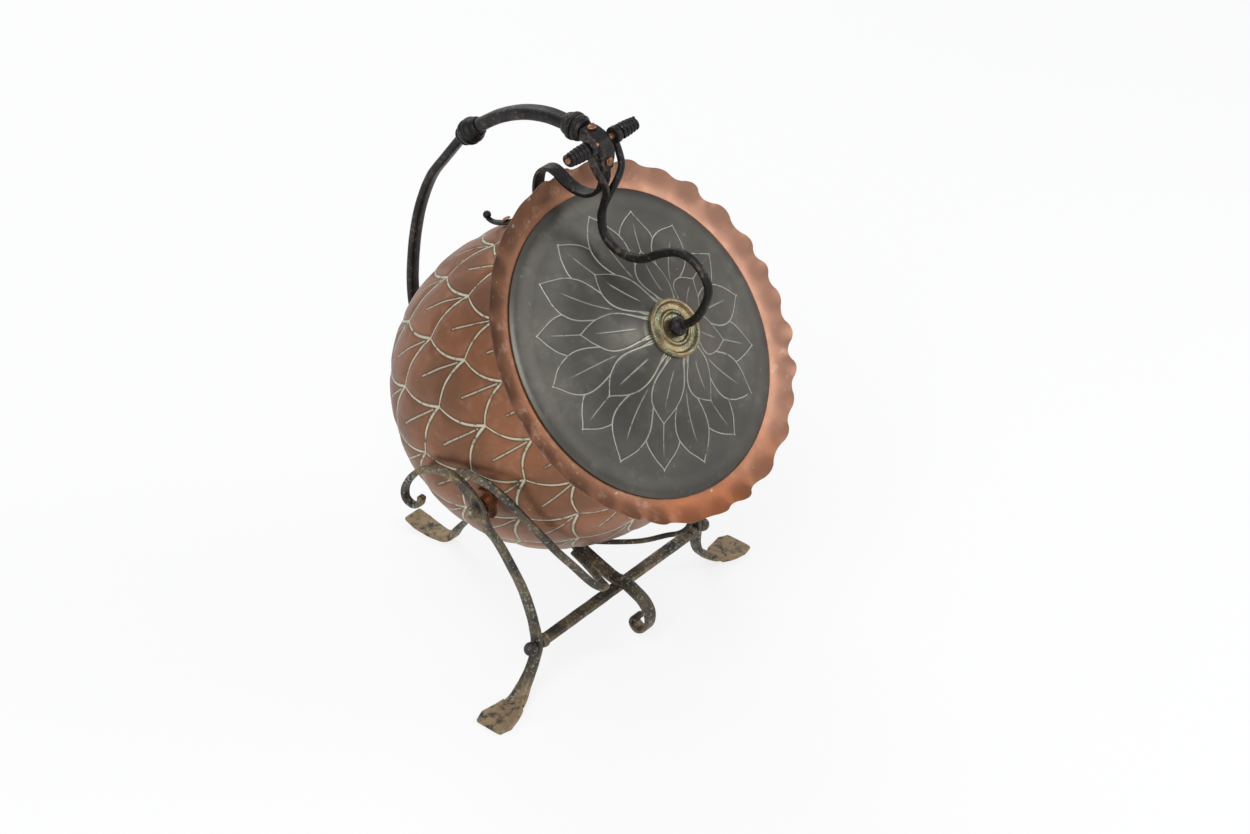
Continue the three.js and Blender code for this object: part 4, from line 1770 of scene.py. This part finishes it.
        path = [
            (44.3, 513.8), (45, 503), (50.5, 491), (62, 483.3), (76, 481.8), (88.5, 485.2),
            (98, 490.8), (106.5, 493),
            (115, 490), (121, 482), (123.6, 470), (123.8, 456), (125.8, 443),
        ]
        points = [site.at(0, y, z) for y, z in path]
        points += [on_top(54, lift), on_top(66, lift), on_top(80, lift), on_top(92, lift + 0.5)]
        points += [on_top(103, lift + 4), on_top(108, lift + 9.5)]
        last = len(points) - 1
        widths = [self.strap_width] * (last - 3) + [10, 7, 4.5, 3.5]
        depths = [self.strap_sheet] * 12 + [3.4] * (last - 11)
        strap = maker.bar(
            "scrolled_strap", points, widths, depths, Slot.BLACK_IRON, squareness=7.0, hammer=0.08,
            samples=10
        )
        maker.place(strap, Body.BUCKET, Slot.BLACK_IRON, "scroll_strap")
        ball = maker.turned(
            "strap_ball",
            [(3.9 * math.sin(math.pi * i / 16), -3.9 * math.cos(math.pi * i / 16)) for i in range(17)],
            points[-1] + Vector((0, -0.5, 3)) * MM,
            Vector((0, 0, 1)),
            Slot.BLACK_IRON,
            segments=24,
        )
        maker.place(ball, Body.BUCKET, Slot.BLACK_IRON)
        seats = [on_top(depth, lift + 3.4 / 2 + 0.4 + 0.9) for depth in (62, 84)]
        heads = maker.rivets("strap_rivets", [(seat, site.mouth_up, 4.2, 2.4) for seat in seats],
            Slot.RIVET)
        maker.place(heads, Body.BUCKET, Slot.RIVET, "strap_rivet_1", "strap_rivet_2")


# ---- The lid ------------------------------------------------------------------------------------


def petal_relief(graph: Graph, turn: Socket, mark: Socket) -> Socket:
    """The engraved petals as shallow cuts."""
    return petal_lines(graph, turn, mark, 0.9) * -1.0


@dataclass
class Lid:
    """The domed lid, its boss, and the arm that it hangs on."""

    radius: float = 145.0
    sheet: float = 1.8
    crown: float = 45.5
    crown_radius: float = 30.0
    bore: float = 4.4
    boss: float = 27.5
    tine_spread: float = 16.8
    tine: float = 3.3
    arm: float = 4.0
    eye: float = 8.0
    eye_width: float = 6.5
    knob_height: float = 53.0
    dome: tuple[tuple[float, float], ...] = (
        (0.0, 0.945), (0.04, 0.88), (0.15, 0.68), (0.32, 0.45), (0.55, 0.27), (0.82, 0.15),
        (0.96, 0.09), (1.0, 0.03),
    )

    def build(self, maker: Maker) -> None:
        """Builds every piece of the lid.

        Args:
            maker: makes the pieces.
        """
        self._disc(maker)
        self._boss(maker)
        self._arm(maker)

    def _disc(self, maker: Maker) -> None:
        """The dished sheet with its petals.

        Args:
            maker: makes the pieces.
        """
        site = maker.site
        span = self.radius - self.crown_radius
        knots = [Vector((run, rise, 0)) for run, rise in self.dome]
        curve = centripetal(knots, 16)
        outer = [(self.crown_radius + span * p.x, self.crown * p.y) for p in curve]
        middle = [(self.bore, self.crown), (self.crown_radius - 4, self.crown),
            (self.crown_radius - 1.5, self.crown - 0.6)]
        under = [(self.crown_radius + (span - 1.5) * run, self.crown * rise - self.sheet) for run,
            rise in self.dome[:-1]]
        low = self.crown - self.sheet
        profile = [(self.bore, low), *middle, *outer[1:], (self.radius, 0.0),
            (self.radius - self.sheet, 0.0)]
        top_count = len(profile) - 2
        profile += [*reversed(under), (self.crown_radius - 2.4, low), (self.bore, low)]
        amounts = [0.22 if 1 <= i < top_count else 0.0 for i in range(len(profile))]
        marks = [r if i < top_count + 2 else 400.0 for i, (r, _) in enumerate(profile)]
        disc = maker.turned(
            "engraved_lid",
            profile,
            site.seat,
            site.mouth_axis,
            Slot.LID,
            segments=540,
            marks=marks,
            amounts=amounts,
            lifts=[(0.0, 1.0)] * len(profile),
            relief=petal_relief,
            up=site.mouth_up,
            side=Vector((1.0, 0.0, 0.0)),
        )
        maker.place(disc, Body.LID, Slot.LID, "lid_disc")

    def _boss(self, maker: Maker) -> None:
        """The brass ring round the knob.

        Args:
            maker: makes the pieces.
        """
        site = maker.site
        base = self.crown + 0.3
        profile = [
            (self.bore, base), (self.boss, base), (self.boss, base + 4), (self.boss - 1.5, base + 5.2),
            (self.boss - 3.5, base + 5.2), (self.boss - 5, base + 2.2), (17.2, base + 2.2),
            (16, base + 4.4),
            (14, base + 4.4), (13, base + 2.2), (self.bore, base + 2.2), (self.bore, base),
        ]
        boss = maker.turned("boss", softened(profile, 1.0), site.seat, site.mouth_axis, Slot.BOSS,
            segments=120)
        maker.place(boss, Body.LID, Slot.BOSS, "boss_ring")

    def _arm(self, maker: Maker) -> None:
        """The forked and curved arm with its knob.

        Args:
            maker: makes the pieces.
        """
        site = maker.site
        hinge_y, hinge_z = 47.2, 541.0
        for side, sign in (("left", -1.0), ("right", 1.0)):
            spread_x = sign * self.tine_spread
            points = [
                site.at(spread_x, hinge_y - 0.5, hinge_z - self.eye + 1.5),
                site.at(spread_x, 42.5, 526),
                site.at(sign * 14.5, 37.5, 515), site.at(sign * 8.5, 37, 504),
                site.at(sign * 3.5, 40, 493),
                site.at(sign, 44.5, 481), site.at(0, 47.3, 472),
            ]
            tine = maker.bar(
                f"arm_tine_{side}", points, self.tine * 2, self.tine * 2, Slot.BLACK_IRON,
                squareness=2.2, sides=20
            )
            maker.place(tine, Body.LID, Slot.BLACK_IRON)
            half = self.eye_width / 2
            bore = 3.4
            eye = maker.turned(
                f"arm_eye_{side}",
                softened([(bore, -half), (self.eye, -half), (self.eye, half), (bore, half),
                    (bore, -half)], 1.6),
                site.at(spread_x, hinge_y, hinge_z),
                Vector((1, 0, 0)),
                Slot.BLACK_IRON,
                segments=48,
            )
            maker.place(eye, Body.LID, Slot.BLACK_IRON)
        knob = site.from_seat(self.knob_height, 0)
        path = [
            (45.8, 477), (48.2, 466.5), (46.3, 450.5), (37, 439.8), (20.3, 435.6), (1.6, 439.4),
            (-20.9, 453.9),
            (-39.1, 462.1), (-55.2, 461.3), (-69.4, 450.6), (-74.7, 436.3), (-70.9, 421.5),
            (-64.5, 408.5), (-56.5, 398),
        ]
        points = [site.at(0, y, z) for y, z in path] + [knob]
        size = [self.tine * 2] + [self.arm * 2] * (len(points) - 1)
        arm = maker.bar("curved_arm", points, size, size, Slot.BLACK_IRON, squareness=2.2,
            sides=26, samples=10)
        maker.place(arm, Body.LID, Slot.BLACK_IRON, "lid_arm")
        profile = [(0, -4.5), (6, -4.5), (9, -1.5), (9, 2), (6.4, 6.4), (3.0, 8.2), (0, 8.5)]
        piece = maker.turned("arm_knob", softened(profile, 1.4), knob, site.mouth_axis,
            Slot.BLACK_IRON, segments=64)
        maker.place(piece, Body.LID, Slot.BLACK_IRON)


# ---- The stand ----------------------------------------------------------------------------------


@dataclass
class Stand:
    """The tripod: two side legs, the cross pieces, the cradle loops and the side pins."""

    leg_at_pivot: float = 161.6
    leg_station: float = 118.0
    stretcher_y: float = 28.4
    stretcher_z: float = 59.0
    leg_sheet: float = 6.0
    loop_width: float = 7.5
    loop_sheet: float = 5.0
    pin_radius: float = 3.5
    centre_width: float = 14.0

    def build(self, maker: Maker) -> None:
        """Builds every piece of the stand.

        Args:
            maker: makes the pieces.
        """
        for side, sign in (("left", -1.0), ("right", 1.0)):
            self._leg(maker, side, sign)
            self._loop(maker, side, sign)
            self._pivot(maker, side, sign)
            self._ball(maker, side, sign)
        self._stretcher(maker)
        self._centre_bar(maker)

    def _leg(self, maker: Maker, side: str, sign: float) -> None:
        """A side leg: foot pad, shank, flattened pivot plate and rear scroll.

        Args:
            maker: makes the pieces.
            side: left or right, for the names.
            sign: -1 for left and 1 for right.
        """
        site = maker.site
        x, w = self.leg_at_pivot, self.leg_station
        path = [
            (189, 29, 2), (176, 29, 2.9), (160, 29.5, 4), (146, 30.5, 7.5), (134, 32, 17.5),
            (125, 32.5, 28),
            (119.5, 31, 43), (w, self.stretcher_y + 1, self.stretcher_z), (w + 1, 31.6, 82),
            (w + 8, 36.8, 122),
            (w + 18, 43.5, 157), (w + 30, 47.3, 188), (x - 1.6, 50.5, 212), (x, 57, 230),
            (x + 1, 68, 243),
            (x + 2.5, 80, 252), (x + 3, 93, 254.2), (x + 3, 109, 250), (x + 3, 125.8, 241),
            (x + 3, 139, 226),
            (x + 3, 146.5, 211), (x + 3, 146, 200), (x + 3, 138, 196.5), (x + 3, 128.5, 202),
            (x + 3, 125.5, 211.5),
        ]
        points = [site.at(sign * px, y, z) for px, y, z in path]
        widths = [30, 37, 29, 20, 14, 12, 11.5, 13, 11.5, 11, 11, 11.5, 13.5, 17, 13, 8, 6.5, 6, 6,
            5.6, 5.4, 5.2, 5.2, 5.6, 6.4]
        depths = [4, 7, 9, 9, 7.5, 6.6, 6.4, 6.4, 6.4, 6.2, 6, 6, 6, 6, 6, 7.5, 8.5, 9, 9, 9, 8.6,
            8.2, 8, 8, 8]
        leg = maker.bar(
            f"wrought_leg_{side}",
            points,
            widths,
            depths,
            Slot.WORN_IRON,
            width_axis=lambda tangent: Vector((0, tangent.z,
                -tangent.y)) if abs(tangent.x) < 0.97 else Vector((0, 1, 0)),
            squareness=4.0,
            hammer=0.14,
            end_rounding=1.6,
        )
        level_feet(leg)
        maker.place(leg, Body.STAND, Slot.WORN_IRON, f"leg_{side}")

    def _loop(self, maker: Maker, side: str, sign: float) -> None:
        """A cradle loop: a strip from the pivot plate down and back under the bucket.

        Args:
            maker: makes the pieces.
            side: left or right, for the names.
            sign: -1 for left and 1 for right.
        """
        site = maker.site
        a = self.leg_at_pivot
        path = [
            (a, 81, 260.6), (a - 0.5, 67, 261.3), (159.5, 47, 259.8), (156, 31, 251),
            (147.5, 19.5, 233.5),
            (129, 10.5, 202), (111, 6.5, 174), (94, 3, 150), (80, 0, 129.5), (70, -3.5, 116.5),
            (61.5, -5.5, 109.5),
            (55, -2, 105.5), (48, 9, 101), (35, 28.2, 92.6), (22, 52.5, 86.5),
            (self.centre_width / 2 + 4, 77, 81.5),
        ]
        points = [site.at(sign * x, y, z) for x, y, z in path]
        toward = Vector((-sign * 0.55, -0.6, 0.55))
        widths = [5] + [self.loop_width] * (len(points) - 1)
        loop = maker.bar(
            f"cradle_strip_{side}",
            points,
            widths,
            self.loop_sheet,
            Slot.WORN_IRON,
            width_axis=lambda tangent: -toward.cross(tangent).cross(tangent),
            squareness=3.4,
            hammer=0.10,
        )
        maker.place(loop, Body.STAND, Slot.WORN_IRON, f"cradle_loop_{side}")

    def _pivot(self, maker: Maker, side: str, sign: float) -> None:
        """The ball-headed side pin and its rod.

        Args:
            maker: makes the pieces.
            side: left or right, for the names.
            sign: -1 for left and 1 for right.
        """
        site = maker.site
        axis = Vector((sign, 0, 0))
        face = self.leg_at_pivot + self.leg_sheet / 2 + 0.6
        centre = site.pivot.copy()
        centre.x = sign * face * MM
        profile = [(0, 0), (4.5, 0), (6, 3), (6.3, 6), (5.4, 9.5), (3.2, 11.8), (0, 12.6)]
        ball = maker.turned(
            f"pin_ball_{side}", softened(profile, 1.6), centre, axis, Slot.WORN_IRON, segments=48
        )
        maker.place(ball, Body.STAND, Slot.WORN_IRON, f"pivot_pin_{side}")
        rod = maker.turned(
            f"pin_rod_{side}",
            softened([(0, 130.0), (self.pin_radius, 130.0), (self.pin_radius, face + 1),
                (0, face + 1)], 0.5),
            Vector((0, site.pivot.y, site.pivot.z)),
            axis,
            Slot.WORN_IRON,
            segments=32,
        )
        maker.place(rod, Body.STAND, Slot.WORN_IRON)

    def _ball(self, maker: Maker, side: str, sign: float) -> None:
        """The ball nut outside a leg at the stretcher.

        Args:
            maker: makes the pieces.
            side: left or right, for the names.
            sign: -1 for left and 1 for right.
        """
        site = maker.site
        inner = self.leg_station + 3.9
        centre = site.at(sign * (inner + 5.4), self.stretcher_y, self.stretcher_z)
        profile = [(0, -5.4), (4.2, -5.4), (6.2, -3.2), (7, 0), (6.1, 3.6), (3.6, 6.1), (0, 7)]
        ball = maker.turned(
            f"stretcher_knob_{side}", softened(profile, 1.6), centre, Vector((sign, 0, 0)),
            Slot.WORN_IRON, segments=48
        )
        maker.place(ball, Body.STAND, Slot.WORN_IRON, f"stretcher_ball_{side}")

    def _stretcher(self, maker: Maker) -> None:
        """The flat bar between the legs, with a knob at each end.

        Args:
            maker: makes the pieces.
        """
        site = maker.site
        half = self.leg_station - 9
        points = [site.at(x, self.stretcher_y, self.stretcher_z) for x in (-half, -40, 40, half)]
        bar = maker.bar(
            "stretcher_strip",
            points,
            12,
            6,
            Slot.WORN_IRON,
            width_axis=lambda tangent: Vector((0, 1, 0)),
            squareness=5.0,
            hammer=0.12,
            samples=24,
        )
        maker.place(bar, Body.STAND, Slot.WORN_IRON, "stretcher_bar")
        for side, sign in (("left", -1.0), ("right", 1.0)):
            start = site.at(sign * (self.leg_station - 3.9), self.stretcher_y, self.stretcher_z)
            profile = [(0, -9.5), (4, -9.5), (6.6, -7), (7.2, -4), (6, 0), (3, 0), (3, 12.5), (0, 12.5)]
            knob = maker.turned(
                f"stretcher_shoulder_{side}", softened(profile, 1.0), start, Vector((sign, 0, 0)),
                Slot.WORN_IRON, segments=48
            )
            maker.place(knob, Body.STAND, Slot.WORN_IRON)

    def _centre_bar(self, maker: Maker) -> None:
        """The arched centre bar: rear foot, arch under the bucket, crossing and front scroll.

        Args:
            maker: makes the pieces.
        """
        site = maker.site
        crossing = self.stretcher_z + 3 + 0.3 + 2.5
        path = [
            (309, 9), (295, 5), (278, 2.8), (263, 3), (252.5, 8), (243, 22), (225, 45), (203, 71),
            (183, 95),
            (167, 111.5), (152.5, 118.2), (137, 111.8), (120, 101.5), (98, 89), (76, 79), (54, 71),
            (38, crossing + 1),
            (self.stretcher_y, crossing), (18, crossing), (8, crossing - 3.5), (-3, 55),
            (-9.5, 46), (-10.5, 34),
            (-5.5, 23), (3, 19.5), (9, 25), (7, 32.5), (1, 33),
        ]
        points = [site.at(0, y, z) for y, z in path]
        widths = [22, 24, 20, 16] + [self.centre_width] * (len(points) - 4)
        depths = [4, 5, 6.5, 7.5, 7, 6] + [5] * 16 + [4] * (len(points) - 22)
        bar = maker.bar(
            "centre_strip", points, widths, depths, Slot.WORN_IRON, squareness=6.0, hammer=0.10,
            end_rounding=1.2
        )
        level_feet(bar)
        maker.place(bar, Body.STAND, Slot.WORN_IRON, "centre_bar")
        seat = site.at(0, self.stretcher_y, crossing + 3.1)
        heads = maker.rivets("crossing_rivet_head", [(seat, Vector((0, 0, 1)), 5.5, 3.0)],
            Slot.WORN_IRON)
        maker.place(heads, Body.STAND, Slot.WORN_IRON, "crossing_rivet")


def level_feet(piece: bpy.types.Object) -> None:
    """Presses what lies below the floor flat onto it."""
    for vertex in piece.data.vertices:
        vertex.co.z = max(vertex.co.z, 0.0)


# ---- The studio ---------------------------------------------------------------------------------


@dataclass
class Studio:
    """The floor, the lamps and the camera."""

    floor_half: float = 9.0
    camera_at: Point = (-1.63881, -1.47225, 1.76237)
    azimuth: float = -49.564
    elevation: float = 34.905
    lens: float = 81.85

    def build(self) -> None:
        """Builds the studio."""
        self._camera()
        self._floor()
        self._world()
        self._lamp("key", (-1.6, -0.8, 2.2), (0.0, 0.0, 0.35), 1.6, 34.0)
        self._lamp("fill", (1.4, -1.6, 1.5), (0.0, -0.1, 0.3), 1.2, 14.0)
        self._lamp("back", (0.8, 1.8, 1.9), (0.0, 0.0, 0.3), 1.4, 16.0)

    def _camera(self) -> None:
        """The camera, which looks down at the mouth's left front."""
        data = bpy.data.cameras.new("camera")
        data.lens = self.lens
        data.sensor_width = 36.0
        camera = bpy.data.objects.new("camera", data)
        turn, rise = math.radians(self.azimuth), math.radians(self.elevation)
        back = Vector((math.cos(rise) * math.sin(turn), -math.cos(rise) * math.cos(turn),
            math.sin(rise)))
        camera.rotation_euler = back.to_track_quat("Z", "Y").to_euler()
        camera.location = self.camera_at
        bpy.context.scene.collection.objects.link(camera)
        bpy.context.scene.camera = camera

    def _floor(self) -> None:
        """A pale floor that shows nearly white and keeps the shadow."""
        mesh = bpy.data.meshes.new("floor")
        h = self.floor_half
        mesh.from_pydata([(-h, -h, 0), (h, -h, 0), (h, h, 0), (-h, h, 0)], [], [(0, 1, 2, 3)])
        floor = bpy.data.objects.new("floor", mesh)
        bpy.context.scene.collection.objects.link(floor)
        made = bpy.data.materials.new("pale floor")
        made.use_nodes = True
        made.node_tree.nodes.clear()
        graph = Graph(made.node_tree)
        plain = graph.node("ShaderNodeBsdfDiffuse", Color=(0.86, 0.86, 0.86))
        white = graph.node("ShaderNodeEmission", Color=(1.0, 1.0, 1.0), Strength=1.0)
        path = graph.node("ShaderNodeLightPath")
        seen = graph.math("MAXIMUM", graph.out(path, "Is Camera Ray"), graph.out(path, "Is Glossy Ray"))
        mixed = graph.node("ShaderNodeMixShader")
        graph.feed(mixed.inputs[0], seen * 0.78)
        graph.feed(mixed.inputs[1], graph.out(plain))
        graph.feed(mixed.inputs[2], graph.out(white))
        graph.node("ShaderNodeOutputMaterial", Surface=graph.out(mixed))
        mesh.materials.append(made)

    def _world(self) -> None:
        """An even pale light from all round."""
        world = bpy.data.worlds.new("studio")
        world.use_nodes = True
        world.node_tree.nodes.clear()
        graph = Graph(world.node_tree)
        light = graph.node("ShaderNodeBackground", Color=(0.93, 0.95, 1.0), Strength=0.62)
        graph.node("ShaderNodeOutputWorld", Surface=graph.out(light))
        bpy.context.scene.world = world

    def _lamp(self, name: str, at: Point, target: Point, size: float, power: float) -> None:
        """A square soft lamp that faces a target.

        Args:
            name: the lamp's name.
            at: where the lamp stands.
            target: the place that it faces.
            size: the length of its side, in metres.
            power: its power in watts.
        """
        data = bpy.data.lights.new(name, "AREA")
        data.size = size
        data.energy = power
        lamp = bpy.data.objects.new(name, data)
        lamp.location = at
        lamp.rotation_euler = (Vector(at) - Vector(target)).to_track_quat("Z", "Y").to_euler()
        bpy.context.scene.collection.objects.link(lamp)


def dress_frame(frame: dict, materials: dict[Slot, bpy.types.Material]) -> None:
    """Gives every carried-over CAD node the finish of its slot.

    Args:
        frame: the loaded frame.
        materials: the material of each slot.
    """
    slots = {part["node"]: part["material_slot"] for part in frame["record"]["subparts"]}
    for name, node in frame["nodes"].items():
        node.data.materials.clear()
        node.data.materials.append(materials[Slot(slots[name])])


def main() -> None:
    """Builds the scuttle round the frame, and its studio."""
    logging.basicConfig(level=logging.INFO, format="%(name)s: %(message)s")
    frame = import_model()
    bpy.context.scene.view_settings.view_transform = "Standard"
    site = Site.from_frame(frame)
    Studio().build()
    site.materials = {slot: finish.material() for slot, finish in FINISHES.items()}
    dress_frame(frame, site.materials)
    maker = Maker(site)
    shell = BudShell()
    shell.build(maker)
    FrilledRim().build(maker)
    Handle().build(maker, shell)
    Lid().build(maker)
    Stand().build(maker)


if __name__ == "__main__":
    main()
